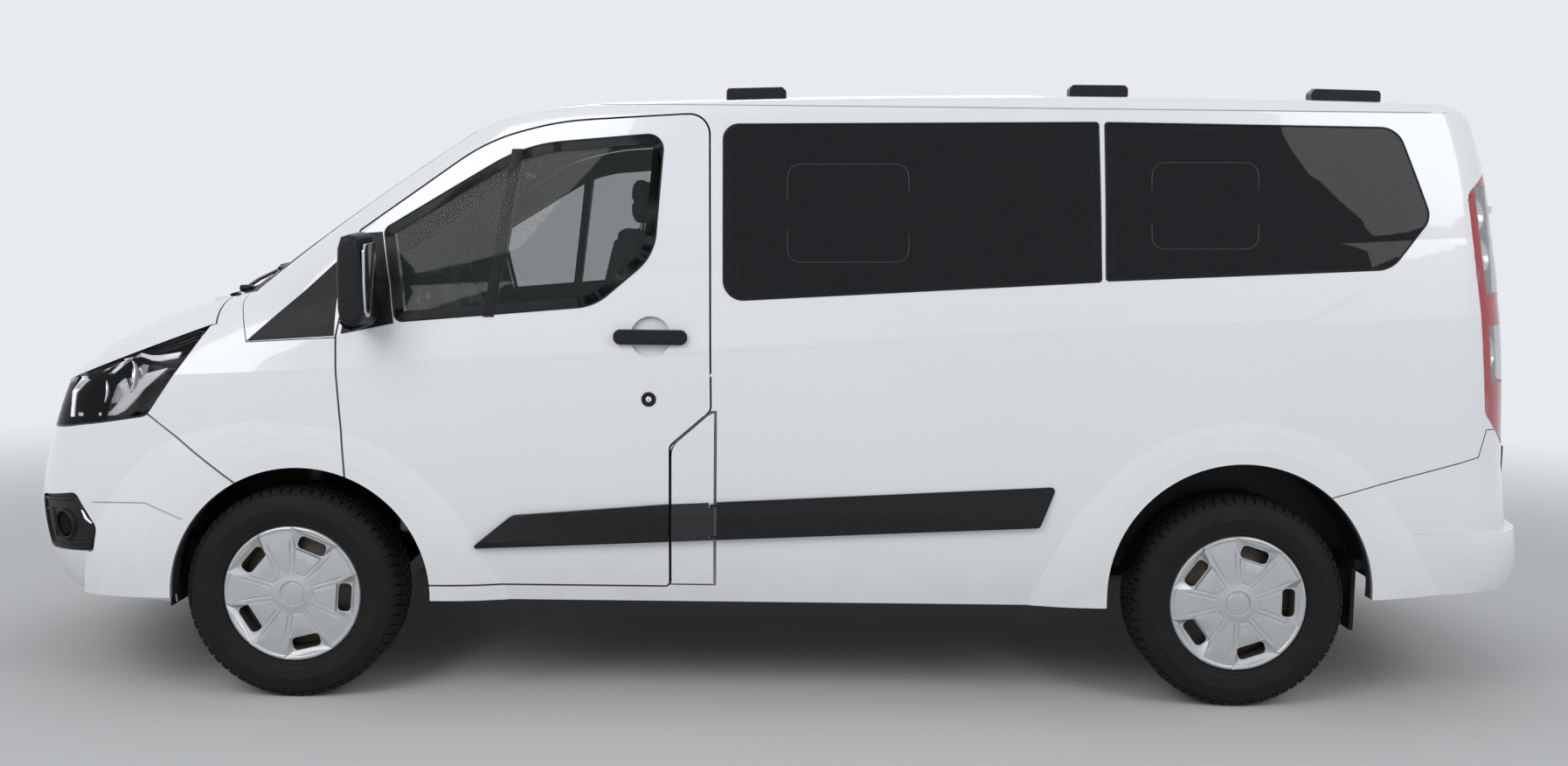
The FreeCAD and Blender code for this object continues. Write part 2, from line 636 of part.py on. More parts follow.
# cowl and windshield
cowl_zone = box(-1900, -1540, -741, 741, shelf_z + 20, cowl_z)
ahead = post(hood_edge_x + hood_edge_r, 0, 0, 2000, hood_edge_r - 26)
hinge_room = box(-1900, -1655, -741, -686, shelf_z, 1400)
cowl = plain_hull.common(cowl_zone.common(ahead)).cut(both(hinge_room))
post_low = shelf_z + 20
stand = cylinder(hood_hinge_x, -741, -690, hood_hinge_z, hinge_pin_r)
for y0, y1 in ((-741, -724), (-704, -690)):
    ear = box(hood_hinge_x - 9, hood_hinge_x + 9, y0, y1, post_low, hood_hinge_z)
    stand = stand.fuse([ear, cylinder(hood_hinge_x, y0, y1, hood_hinge_z, 9)])
trim += [cowl] + both(stand)
save("body_trim", trim)
screen = plain_hull.common(prism(windshield_line, -2000, -700, "yz")).cut(inner_glass)
save("windshield", [screen])

# floor, bulkhead, rails and radiator frame in one welded piece
liner_x = -1440.0
liner_r = 415.0
rear_liner_r = 430.0
liner_t = 8.0
floor = inner_wall.common(box(-1345, 2318, -1100, 1100, floor_z, floor_z + floor_t))
firewall = inner_wall.common(box(-1345, -1325, -1100, 1100, floor_z, shelf_z))
shelf = inner_wall.common(box(-1858, -1325, -1100, 1100, shelf_z, shelf_z + 20))
shelf = shelf.common(ahead)
rails = both(box(-1325, 2200, -500, -430, floor_z - 90, floor_z))
rails += both(box(-2215, -1325, -500, -430, 430, 560))
frame = box(-2262, -2210, -552, 552, 340, 900).cut(box(-2300, -2100, -520, 520, 420, 840))
core_pack = box(-2255, -2215, -520, 520, 420, 840)
cores = [cylinder(liner_x, -960, -540, front_arch_z, liner_r + liner_t),
         cylinder(rear_axle_x, -960, -735, wheel_r, rear_liner_r + liner_t)]
floor = floor.fuse([firewall, shelf, frame, core_pack] + rails)
floor = floor.cut([s for core in cores for s in both(core)])
save("floor_pan", [floor])


# arch liners and mud flaps
def liner(x, z, r, inner_y, low, limit):
    tube = cylinder(x, -960, -inner_y, z, r + liner_t).cut(cylinder(x, -970, -inner_y - liner_t, z, r))
    return tube.common(box(x - 600, x + 600, -960, -inner_y, low, z + 600)).common(limit)


front_liner = liner(liner_x, front_arch_z, liner_r, 540, 420, inner_panel)
front_liner = front_liner.cut(box(-1310, -900, -960, -880, 0, 1000))
rear_liner = liner(rear_axle_x, wheel_r, rear_liner_r, 735, 400, inner_wall)
mud_flap = box(1838, 1850, -915, -765, 241, 470)
# rear bumper
rear_box = box(1700, 2600, -1200, 1200, 300, 900)
step_part = stacked(step_levels, 0.0).common(rear_box)
corner_part = stacked(bumper_corner_levels, 0.0).common(rear_box)
rear_flank = left_hull.common(rear_box)
rear_body = step_part.fuse([corner_part, rear_flank, mirrored(rear_flank)])
rear_body = rear_body.common(prism(rear_bumper_line, -1200, 1200, "xz")).cut([inner_panel])
door_field = box(2000, 2600, -rear_door_y - door_gap, rear_door_y + door_gap, rear_door_z - door_gap, 1000)
notches_both = [s for n in body_notches for s in both(n)]
rear_bumper = rear_body.cut([door_field] + both(rear_arch) + both(tail_hole) + notches_both)
low_hinges = [s for h in body_hinges if h.BoundBox.ZMin < 1000 for s in both(h)]
rear_bumper = rear_bumper.fuse(low_hinges)
save("rear_bumper", [rear_bumper])
flap_stay = box(1838, 1900, -960, -900, 440, 470).cut(rear_bumper).common(inner_panel)
save("wheel_arch_liners", both(front_liner) + both(rear_liner) + both(mud_flap.fuse(flap_stay)))

# twin rear doors
rear_shell = plain_hull.common(box(2000, 2600, -800, 800, 500, 1900))
rear_wall = rear_shell.cut(inner_wall)
rear_lip = rear_shell.cut(inner_lid)
rear_skin = rear_shell.cut(inner_glass)
leaves = (
    ("rear_left_door", -rear_door_y, seam_y - 3, 0, -edge_set_back, rear_glass_left),
    ("rear_right_door", seam_y + 3, rear_door_y, edge_set_back, 0, rear_glass_right),
)
for name, y0, y1, in0, in1, pane_line in leaves:
    lip = rear_lip.common(box(2000, 2600, y0, y1, rear_door_z, rear_door_top))
    core = rear_wall.common(box(2000, 2600, y0 + in0, y1 + in1, rear_door_z, rear_door_top))
    pane = prism(pane_line, 2000, 2600, "yz").common(rear_skin)
    pocket = prism(grown(pane_line, panel_gap), 2000, 2600, "yz").common(rear_skin)
    plate_recess = box(rear_plate_x, 2600, *rear_plate)
    side = mirrored if y0 > 0 else (lambda shape: shape)
    notches = [side(n) for n in door_notches]
    eyes = [side(e) for e in door_eyes]
    pane_hole = prism(grown(pane_line, -25), 2000, 2600, "yz")
    leaf = core.fuse(lip).cut([pane_hole, pocket, plate_recess] + notches)
    save(name, [leaf.fuse(eyes).cut([side(b) for b in pin_bores])])
    save(name + "_glass", [pane])

# dashboard
dash_line = [(-1538, 1190), (-1325, 1190), (-1325, 720), (-1290, 700), (-1170, 860), (-1150, 1130),
             (-1235, 1225), (-1538, 1262)]
column_lean = 28.0
column_r = 18.0
wheel_centre = V(-960, -430, 1170)
column_axis = V(math.cos(math.radians(column_lean)), 0, math.sin(math.radians(column_lean)))
dash = prism(dash_line, -850, 850, "xz").common(inner_wall).cut(both(cores[0]))
column_hole = rod(wheel_centre - column_axis * 300, column_axis, 300, column_r + running_gap)
save("dashboard", [dash.cut(column_hole)])


def steering_wheel():
    rim = Part.makeTorus(190, 15, V(0, 0, 0), V(0, 0, 1))
    hub = Part.makeCylinder(60, 50, V(0, 0, -45), V(0, 0, 1))
    shaft = Part.makeCylinder(column_r, 220, V(0, 0, -260), V(0, 0, 1))
    across = box(-18, 18, -185, 185, -22, 0)
    down = box(0, 185, -16, 16, -22, 0)
    whole = rim.fuse([hub, shaft, across, down])
    whole.rotate(V(0, 0, 0), V(0, 1, 0), 90 - column_lean)
    whole.translate(wheel_centre)
    return whole


save("steering_wheel", [steering_wheel()])


def seat(y, back_x, width):
    half = width / 2
    base = box(back_x - 470, back_x - 60, y - half + 40, y + half - 40, floor_z + floor_t, 830)
    cushion = box(back_x - 500, back_x - 40, y - half, y + half, 830, 960)
    cushion = cushion.makeFillet(30, cushion.Edges)
    back = box(back_x - 70, back_x + 50, y - half, y + half, 900, 1500)
    back = back.makeFillet(30, back.Edges)
    back.rotate(V(back_x, y, 900), V(0, 1, 0), 14)
    heads = []
    count = max(1, int(width / 400))
    for i in range(count):
        cy = y - half + width * (i + 0.5) / count
        head = box(back_x + 100, back_x + 180, cy - 130, cy + 130, 1470, 1640)
        heads.append(head.makeFillet(25, head.Edges))
    return base.fuse([cushion, back] + heads)


save("seats", [seat(*place) for place in front_seat_places + rear_seat_places])

# running gear that is fixed to the body
kingpin_y = 785.0
pin_r = 14.0
spindle_r = 22.0
strut_r = 32.0
save("engine_block", [box(-2060, -1580, -330, 360, 262, 950)])


def front_gear():
    cross = box(-1640, -1280, -400, 400, 200, 262)
    arm = prism([(-1520, -400), (-1300, -400), (-1438, -785), (-1475, -785)], 208, 240, "xy")
    eye = post(front_axle_x, -kingpin_y, 208, 240, 24)
    strut_eye = post(front_axle_x, -kingpin_y, 425, 450, 22)
    bracket = box(front_axle_x - 18, front_axle_x + 18, -kingpin_y, -690, 425, 450)
    reach = abs(front_axle_x - liner_x) + strut_r
    strut_top = front_arch_z + math.sqrt(liner_r ** 2 - reach ** 2) - running_gap
    strut = post(front_axle_x, -700, 415, strut_top, strut_r)
    bore = post(front_axle_x, -kingpin_y, 150, 500, pin_r + running_gap)
    side = arm.fuse(eye).cut(bore)
    tower = strut.fuse([strut_eye, bracket]).cut(bore)
    riser = box(-1640, -1560, -500, -400, 200, 430)
    whole = cross.fuse(both(side) + both(riser))
    return [whole] + both(tower)


save("front_suspension", front_gear())


def rear_gear():
    tube = cylinder(rear_axle_x, -760, 760, wheel_r, 38)
    stub = cylinder(rear_axle_x, -905, 905, wheel_r, spindle_r)
    plates = both(cylinder(rear_axle_x, -764, -750, wheel_r, 120))
    springs = []
    for y in (-590, 590):
        springs += [box(860, 2080, y - 35, y + 35, 372, 392),
                    box(860, 900, y - 35, y + 35, 372, floor_z),
                    box(2040, 2080, y - 35, y + 35, 372, floor_z),
                    box(rear_axle_x - 60, rear_axle_x + 60, y - 40, y + 40, wheel_r, 392)]
    return tube.fuse([stub] + plates + springs)


save("rear_suspension", [rear_gear()])
tank = box(-560, 250, -880, -520, 330, floor_z)
save("fuel_tank", [tank.makeFillet(30, [e for e in tank.Edges if e.BoundBox.ZMin < 400])])
pipe = Part.makeCylinder(30, 2500, V(-1230, 330, 380), V(1, 0, 0))
muffler = Part.makeCylinder(95, 620, V(150, 330, 380), V(1, 0, 0))
hangers = [box(-900, -870, 315, 345, 380, floor_z), box(1050, 1080, 315, 345, 380, floor_z)]
save("exhaust", [pipe.fuse([muffler] + hangers)])


# wheels, tyres and hub carriers
def ring(points, y):
    corners = [V(r, w, 0) for r, w in points]
    solid = Part.Face(Part.makePolygon(corners + corners[:1])).revolve(V(0, 0, 0), V(0, 1, 0), 360)
    solid.translate(V(0, y, 0))
    return solid


tyre_profile = [(208, -86), (220, -97), (255, -106), (280, -107), (305, -101), (322, -88), (wheel_r, -70),
                (wheel_r, 70), (322, 88), (305, 101), (280, 107), (255, 106), (220, 97), (208, 86),
                (208, 80), (192, 80), (192, -80), (208, -80)]
rim_profile = [(207, -93), (207, -80), (191.6, -80), (191.6, 80), (207, 80), (207, 93), (200, 93),
               (184, 78), (184, 60), (172, 40), (172, -60), (184, -78), (200, -93)]
trim_slots = 5


def rim_shape(turn):
    barrel = ring(rim_profile, 0)
    disc = cylinder(0, -78, -62, 0, 186)
    hub = cylinder(0, -80, 0, 0, 62)
    cap = ring([(0, -92), (36, -94), (60, -90), (150, -93), (196, -90), (199, -84), (196, -81),
                (190, -81), (190, -76), (0, -76)], 0)
    slots = []
    wells = []
    for i in range(trim_slots):
        angle = turn + 360 / trim_slots * i
        slot = box(-44, 44, -120, -50, 139, 180)
        slot = slot.makeFillet(18, [e for e in slot.Edges if abs(e.tangentAt(e.FirstParameter).y) > 0.9])
        well = prism([(-66, 125), (66, 125), (84, 194), (-84, 194)], -120, -88, "xz")
        slot.rotate(V(0, 0, 0), V(0, 1, 0), angle)
        well.rotate(V(0, 0, 0), V(0, 1, 0), angle)
        slots.append(slot)
        wells.append(well)
    whole = barrel.fuse([disc, hub, cap.cut(wells)]).cut(slots)
    return whole.cut(cylinder(0, -60, 200, 0, spindle_r + running_gap))


tyre = ring(tyre_profile, 0)
front_rim = rim_shape(22.5)
rear_rim = rim_shape(17.5)
for name, x, y, rim in (("front_left", front_axle_x, front_wheel_y, front_rim),
                        ("rear_left", rear_axle_x, rear_wheel_y, rear_rim)):
    for shape, kind in ((tyre.copy(), "_tyre"), (rim, "_wheel")):
        shape.translate(V(x, -y, wheel_r))
        save(name + kind, [shape])
        save(name.replace("left", "right") + kind, [mirrored(shape)])


def knuckle():
    pin = post(front_axle_x, -kingpin_y, 206, 452, pin_r)
    block = box(front_axle_x - 40, front_axle_x + 40, -808, -760, 245, 420)
    stub = cylinder(front_axle_x, -front_wheel_y - 40, -760, wheel_r, spindle_r)
    return block.fuse([pin, stub])


save("front_left_knuckle", [knuckle()])
save("front_right_knuckle", [mirrored(knuckle())])
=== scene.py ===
import bpy
import json
import math
from contextlib import contextmanager
from mathutils import Matrix, Vector
from mathutils.bvhtree import BVHTree


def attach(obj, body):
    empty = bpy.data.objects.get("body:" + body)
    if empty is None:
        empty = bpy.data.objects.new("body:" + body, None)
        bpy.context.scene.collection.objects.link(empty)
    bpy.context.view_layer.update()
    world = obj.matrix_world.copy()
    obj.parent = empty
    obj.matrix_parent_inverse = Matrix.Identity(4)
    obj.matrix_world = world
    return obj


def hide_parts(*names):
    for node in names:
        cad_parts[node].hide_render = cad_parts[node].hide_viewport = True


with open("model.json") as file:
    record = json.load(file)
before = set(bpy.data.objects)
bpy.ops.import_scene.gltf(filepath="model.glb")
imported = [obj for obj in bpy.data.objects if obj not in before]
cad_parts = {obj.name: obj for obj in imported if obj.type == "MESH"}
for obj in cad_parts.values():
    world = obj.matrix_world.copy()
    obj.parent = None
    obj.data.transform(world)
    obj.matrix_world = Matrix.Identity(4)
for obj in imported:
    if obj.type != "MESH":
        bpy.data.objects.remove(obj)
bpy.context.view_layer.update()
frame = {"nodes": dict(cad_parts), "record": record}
bpy.ops.object.select_all(action="DESELECT")
nodes = frame["nodes"]
print("frame loaded", len(nodes))

view = {
    "place": (0.0595, -5.36, 1.469),
    "pitch": 6.04,
    "roll": 0.65,
    "lens": 33.33,
    "sensor": 36.0,
    "photo": (1794, 876),
    "reach": 4.9,
}

viewTurn = (
    Matrix.Rotation(
        math.radians(90 - view["pitch"]), 4, "X"
    ) @ Matrix.Rotation(math.radians(view["roll"]), 4, "Z")
)


# shader maths: a wrapped socket can be added, multiplied and compared
class Value:
    def __init__(self, tree, socket):
        self.tree = tree
        self.socket = socket

    def math(self, operation, *others):
        node = self.tree.nodes.new("ShaderNodeMath")
        node.operation = operation
        for index, item in enumerate((self,) + others):
            if isinstance(item, Value):
                self.tree.links.new(item.socket, node.inputs[index])
            else:
                node.inputs[index].default_value = item
        return Value(self.tree, node.outputs[0])

    def constant(self, number):
        node = self.tree.nodes.new("ShaderNodeValue")
        node.outputs[0].default_value = number
        return Value(self.tree, node.outputs[0])

    def __add__(self, other):
        return self.math("ADD", other)

    def __sub__(self, other):
        return self.math("SUBTRACT", other)

    def __rsub__(self, other):
        return self.constant(other).math("SUBTRACT", self)

    def __mul__(self, other):
        return self.math("MULTIPLY", other)

    def __truediv__(self, other):
        return self.math("DIVIDE", other)

    def __gt__(self, other):
        return self.math("GREATER_THAN", other)

    def __lt__(self, other):
        return self.math("LESS_THAN", other)

    def least(self, other):
        return self.math("MINIMUM", other)

    def most(self, other):
        return self.math("MAXIMUM", other)

    def size(self):
        return self.math("ABSOLUTE")

    def ramp(self, low, high):
        span = self.tree.nodes.new("ShaderNodeMapRange")
        self.tree.links.new(self.socket, span.inputs["Value"])
        span.inputs["From Min"].default_value = low
        span.inputs["From Max"].default_value = high
        span.interpolation_type = "SMOOTHSTEP"
        return Value(self.tree, span.outputs["Result"])

    def along(self, corners):  # the height of a bent line over this value
        total = self.constant(corners[0][1])
        for (start, low), (end, high) in zip(corners, corners[1:]):
            share = ((self - start) / (end - start)).most(0.0).least(1.0)
            total = total + share * (high - low)
        return total


class Finish:
    def __init__(self, name, slotName, color, roughness, **fixed):
        self.material = bpy.data.materials.new(name)
        self.material.use_nodes = True
        self.slotName = slotName
        self.tree = self.material.node_tree
        self.shader = self.tree.nodes["Principled BSDF"]
        self.shader.inputs["Base Color"].default_value = (*color, 1)
        self.shader.inputs["Roughness"].default_value = roughness
        for socketName, amount in fixed.items():
            self.shader.inputs[socketName.replace("_", " ")].default_value = amount
        place = self.node("ShaderNodeTexCoord")
        self.place = place.outputs["Object"]
        self.facing = place.outputs["Normal"]
        self.x, self.y, self.z = self.parts(self.place)

    def node(self, kind, settings=None, inputs=None):
        made = self.tree.nodes.new(kind)
        for key, setting in (settings or {}).items():
            setattr(made, key, setting)
        for key, item in (inputs or {}).items():
            if isinstance(item, Value):
                item = item.socket
            if isinstance(item, bpy.types.NodeSocket):
                self.tree.links.new(item, made.inputs[key])
            else:
                made.inputs[key].default_value = item
        return made

    def parts(self, vector):
        split = self.node("ShaderNodeSeparateXYZ", None, {0: vector})
        return [Value(self.tree, split.outputs[i]) for i in range(3)]

    def noise(self, scale, detail=3.0, stretch=(1, 1, 1)):
        place = self.node("ShaderNodeMapping", None, {"Vector": self.place, "Scale": stretch})
        made = self.node("ShaderNodeTexNoise", None, {
            "Vector": place.outputs[0],
            "Scale": scale,
            "Detail": detail,
        })
        return Value(self.tree, made.outputs["Fac"])

    def mix(self, amount, first, second):
        made = self.node("ShaderNodeMix", {"data_type": "RGBA"}, {0: amount})
        for index, item in ((6, first), (7, second)):
            if isinstance(item, bpy.types.NodeSocket):
                self.tree.links.new(item, made.inputs[index])
            else:
                made.inputs[index].default_value = (*item, 1)
        return made.outputs[2]

    def feed(self, socketName, item):
        self.tree.links.new(item.socket if isinstance(item, Value) else item, self.shader.inputs[socketName])

    def bump(self, height, strength, distance):
        made = self.node("ShaderNodeBump", None, {
            "Height": height,
            "Strength": strength,
            "Distance": distance,
        })
        self.feed("Normal", made.outputs["Normal"])

    def outward(self):
        nx, ny, nz = self.parts(self.facing)
        return ny * self.y + nx * self.x * 0.15 + nz * 0.4


paintLook = {
    "white": (0.83, 0.84, 0.85),
    "lining": (0.27, 0.27, 0.26),
    "arches": [(-1.423, 0.330, 0.400), (1.468, 0.365, 0.408)],
    "archEdge": 0.9730,
    "dust": (0.42, 0.40, 0.37),
    "dustHeight": 0.62,
    "crease": [(-1.123, 1.054), (-0.166, 1.100), (0.593, 1.151), (1.644, 1.210), (1.886, 1.343)],
    "creaseWidth": 0.012,
    "trimSide": 0.9812,
    "trimTop": 0.66,
    "trimColor": (0.010, 0.011, 0.013),
    "insideEdge": (-0.18, -0.12),
    "wellReach": 0.6,
    "creaseFront": (-1.22, -1.02),
    "creaseRear": (1.70, 1.90),
    "creaseReach": 0.86,
}


def whitePaint(name, trimmed=False):
    f = Finish(name, "white_paint", paintLook["white"], 0.28, Coat_Weight=1.0, Coat_Roughness=0.03)
    dirt = f.noise(9.0, 6.0) * (1 - f.z.ramp(0.3, paintLook["dustHeight"])) * 0.30
    shade = f.mix(f.noise(1.3, 2.0), (0.81, 0.82, 0.835), (0.85, 0.86, 0.865))
    painted = f.mix(dirt, shade, paintLook["dust"])
    inside = 1 - f.outward().ramp(*paintLook["insideEdge"])
    color = f.mix(inside, painted, paintLook["lining"])
    if trimmed:  # the stretch of side moulding on the flap
        trim = (f.y.size() > paintLook["trimSide"]) * (f.z < paintLook["trimTop"])
        color = f.mix(trim, color, paintLook["trimColor"])
        inside = inside.most(trim)
    well = f.x.constant(0.0)
    for x, z, r in paintLook["arches"]:  # the folded edge inside each wheel arch is black
        across = (f.x - x) * (f.x - x)
        rise = (f.z - z).most(0.0)
        near = (across + rise * rise).math("SQRT")
        well = well.most(near < r + 0.003)
    well = well * (f.y.size() < paintLook["archEdge"]) * (f.y.size() > paintLook["wellReach"])
    color = f.mix(well, color, paintLook["trimColor"])
    inside = inside.most(well)
    f.feed("Base Color", color)
    f.feed("Roughness", dirt * 0.9 + inside * 0.4 + 0.26)
    f.feed("Coat Weight", 1 - inside)
    grain = f.node("ShaderNodeBump", None, {
        "Height": f.noise(420.0, 2.0),
        "Strength": 0.012,
        "Distance": 0.001,
    })
    above = (f.z - f.x.along(paintLook["crease"])).ramp(-paintLook["creaseWidth"], paintLook["creaseWidth"])
    reach = f.x.ramp(*paintLook["creaseFront"]) * (1 - f.x.ramp(*paintLook["creaseRear"]))
    reach = reach * (f.y.size() > paintLook["creaseReach"])
    shoulder = f.node("ShaderNodeBump", None, {
        "Height": above * reach,
        "Strength": 0.5,
        "Distance": 0.004,
        "Normal": grain.outputs["Normal"],
    })
    f.feed("Normal", shoulder.outputs["Normal"])
    return f


def blackPlastic():
    f = Finish("blackPlastic", "black_plastic", (0.018, 0.019, 0.021), 0.5, Specular_IOR_Level=0.22)
    f.feed("Base Color", f.mix(f.noise(24.0, 5.0), (0.007, 0.0075, 0.0085), (0.015, 0.016, 0.0175)))
    f.feed("Roughness", f.noise(60.0, 3.0) * 0.16 + 0.36)
    f.bump(f.noise(900.0, 2.0), 0.18, 0.0006)
    return f


def glassLook(name, slotName, color, low, bend=1.5):
    f = Finish(name, slotName, color, 0.02, IOR=bend)
    gloss = f.node("ShaderNodeFresnel", None, {"IOR": 1.5})
    f.feed("Alpha", Value(f.tree, gloss.outputs[0]) * (1 - low) + low)
    f.feed("Roughness", f.noise(5.0, 4.0) * 0.03)
    return f


def plainLook(name, slotName, dark, light, roughness, scale, grain, **fixed):
    f = Finish(name, slotName, dark, roughness, **fixed)
    f.feed("Base Color", f.mix(f.noise(scale, 5.0), dark, light))
    f.feed("Roughness", f.noise(scale * 2.3, 3.0) * 0.22 + (roughness - 0.11))
    f.bump(f.noise(grain, 3.0), 0.2, 0.001)
    return f


looks = {
    "white_paint": whitePaint("whitePaint"),
    "flap_paint": whitePaint("flapPaint", True),
    "black_plastic": blackPlastic(),
    "clear_glass": glassLook("clearGlass", "clear_glass", (0.016, 0.030, 0.025), 0.26),
    "dark_glass": glassLook("darkGlass", "dark_glass", (0.003, 0.0035, 0.005), 0.92, 1.33),
    "lamp_clear": glassLook("lampClear", "lamp_clear", (0.02, 0.021, 0.022), 0.05, 1.4),
    "lamp_red": glassLook("lampRed", "lamp_red", (0.35, 0.01, 0.012), 0.7),
    "underbody": plainLook(
        "underbody", "underbody", (0.02, 0.02, 0.022), (0.05, 0.048, 0.045), 0.75, 6.0, 130.0
    ),
    "cabin_plastic": plainLook(
        "cabinPlastic", "cabin_plastic", (0.035, 0.036, 0.038), (0.055, 0.055, 0.058), 0.6, 20.0, 900.0
    ),
    "seat_fabric": plainLook(
        "seatFabric", "seat_fabric", (0.03, 0.032, 0.036), (0.075, 0.078, 0.085), 0.9, 35.0, 1400.0
    ),
    "cast_metal": plainLook(
        "castMetal", "cast_metal", (0.20, 0.20, 0.20), (0.34, 0.34, 0.33), 0.5, 12.0, 300.0, Metallic=0.9
    ),
    "dark_steel": plainLook(
        "darkSteel", "dark_steel", (0.05, 0.045, 0.04), (0.12, 0.09, 0.07), 0.55, 14.0, 240.0, Metallic=0.6
    ),
    "tyre": plainLook(
        "tyreRubber", "tyre", (0.006, 0.006, 0.006), (0.014, 0.0137, 0.0133), 0.70, 18.0, 500.0,
        Specular_IOR_Level=0.22
    ),
    "chrome": plainLook(
        "chrome", "wheel_silver", (0.80, 0.80, 0.81), (0.88, 0.88, 0.89), 0.16, 20.0, 200.0, Metallic=1.0
    ),
    "mirror": plainLook(
        "mirrorPane", "wheel_silver", (0.55, 0.57, 0.58), (0.60, 0.61, 0.62), 0.13, 3.0, 60.0, Metallic=1.0
    ),
    "wheel_silver": plainLook(
        "wheelSilver", "wheel_silver", (0.50, 0.51, 0.52), (0.60, 0.61, 0.62), 0.36, 30.0, 700.0,
        Metallic=0.55
    ),
}

slotOf = {row["node"]: row["material_slot"] for row in frame["record"]["subparts"]}
bodies = frame["record"]["behaviour"]["bodies"]
bodyOf = {node: body for body, members in bodies.items() for node in members}
for name, node in nodes.items():
    slotName = slotOf[name]
    lookName = "flap_paint" if name == "fuel_flap" else slotName
    node.data.materials.clear()
    node.data.materials.append(looks[lookName].material)
print("finishes given to", len(nodes), "parts")


acrossCar = Matrix.Scale(-1, 4, (0, 1, 0))
joinReach = 0.00005  # points nearer than this are one point


def lay(piece):  # only this piece is picked and active
    bpy.ops.object.select_all(action="DESELECT")
    piece.select_set(True)
    bpy.context.view_layer.objects.active = piece


@contextmanager
def editing(piece, pick="SELECT"):  # edit mode on one piece, with all of it picked
    lay(piece)
    bpy.ops.object.mode_set(mode="EDIT")
    bpy.ops.mesh.select_all(action=pick)
    yield
    bpy.ops.object.mode_set(mode="OBJECT")


def apply(piece, kind, **settings):
    lay(piece)
    added = piece.modifiers.new(kind.lower(), kind)
    for key, setting in settings.items():
        setattr(added, key, setting)
    bpy.ops.object.modifier_apply(modifier=added.name)


def settle(piece):
    lay(piece)
    bpy.ops.object.transform_apply(location=True, rotation=True, scale=True)


def weld():  # in edit mode: doubled points are merged and all faces point out
    bpy.ops.mesh.select_all(action="SELECT")
    bpy.ops.mesh.remove_doubles(threshold=joinReach)
    bpy.ops.mesh.normals_make_consistent(inside=False)


def outward(piece):
    with editing(piece):
        weld()


def finished(piece, body, look, angle=32):
    settle(piece)
    bpy.ops.object.shade_smooth_by_angle(angle=math.radians(angle))
    piece.data.materials.clear()
    piece.data.materials.append(looks[look].material)
    for face in piece.data.polygons:
        face.material_index = 0
    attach(piece, body)
    piece.select_set(False)
    return piece


def joined(name, pieces):
    bpy.ops.object.select_all(action="DESELECT")
    for piece in pieces:
        piece.select_set(True)
    bpy.context.view_layer.objects.active = pieces[0]
    bpy.ops.object.join()
    pieces[0].name = name
    return pieces[0]


def copied(piece, name, change=None):  # a copy with its own mesh, moved or turned
    twin = piece.copy()
    twin.data = piece.data.copy()
    twin.name = name
    for key in list(twin.keys()):
        del twin[key]
    twin.parent = None
    twin.hide_render = False
    twin.hide_viewport = False
    bpy.context.scene.collection.objects.link(twin)
    if change is not None:
        twin.data.transform(change)
        if change.determinant() < 0:
            with editing(twin):
                bpy.ops.mesh.flip_normals()
    return twin


def block(name, low, high, bevel=0.0, segments=2):
    middle = [(a + b) / 2 for a, b in zip(low, high)]
    bpy.ops.mesh.primitive_cube_add(size=1, location=middle)
    piece = bpy.context.object
    piece.name = name
    piece.scale = [b - a for a, b in zip(low, high)]
    settle(piece)
    if bevel:
        apply(piece, "BEVEL", width=bevel, segments=segments, limit_method="ANGLE")
    return piece


def path(name, points, closed=False):  # a single vertex extruded from point to point
    bpy.ops.mesh.primitive_plane_add(size=0.01, location=(0, 0, 0))
    piece = bpy.context.object
    piece.name = name
    with editing(piece):
        bpy.ops.mesh.merge(type="CENTER")
        bpy.ops.transform.translate(value=points[0])
        for before, after in zip(points, points[1:]):
            step = [b - a for a, b in zip(before, after)]
            bpy.ops.mesh.extrude_vertices_move(TRANSFORM_OT_translate={"value": step})
        bpy.ops.mesh.select_all(action="SELECT")
        if closed:
            bpy.ops.mesh.edge_face_add()
    return piece


def turned(name, profile, steps, sweep=360.0, closed=False):  # profile: radius and distance along the axle
    piece = path(name, [(r, w, 0) for r, w in profile], closed)
    with editing(piece):
        bpy.ops.mesh.spin(
            steps=steps, angle=math.radians(sweep), center=(0, 0, 0), axis=(0, 1, 0),
            use_auto_merge=sweep == 360.0
        )
        weld()
    settle(piece)
    return piece


def slab(name, points, plane, low, high, bevel=0.0, segments=2):  # a flat outline given a thickness
    if plane == "xz":
        outline, run = [(a, low, b) for a, b in points], (0, high - low, 0)
    else:
        outline, run = [(low, a, b) for a, b in points], (high - low, 0, 0)
    piece = path(name, outline, True)
    with editing(piece):
        bpy.ops.mesh.extrude_region_move(TRANSFORM_OT_translate={"value": run})
        bpy.ops.mesh.select_all(action="SELECT")
        bpy.ops.mesh.normals_make_consistent(inside=False)
    if bevel:
        apply(piece, "BEVEL", width=bevel, segments=segments, limit_method="ANGLE")
    outward(piece)
    return piece


def plate(name, points, thickness, bevel=0.0):  # a thin sheet over an outline that need not be flat
    piece = path(name, [tuple(point) for point in points], True)
    apply(piece, "SOLIDIFY", thickness=thickness, offset=0)
    if bevel:
        apply(piece, "BEVEL", width=bevel, segments=2, limit_method="ANGLE")
    outward(piece)
    return piece


def cutBy(piece, cutter, selfCut=False):
    apply(piece, "BOOLEAN", operation="DIFFERENCE", solver="EXACT", object=cutter, use_self=selfCut)
    bpy.data.objects.remove(cutter)


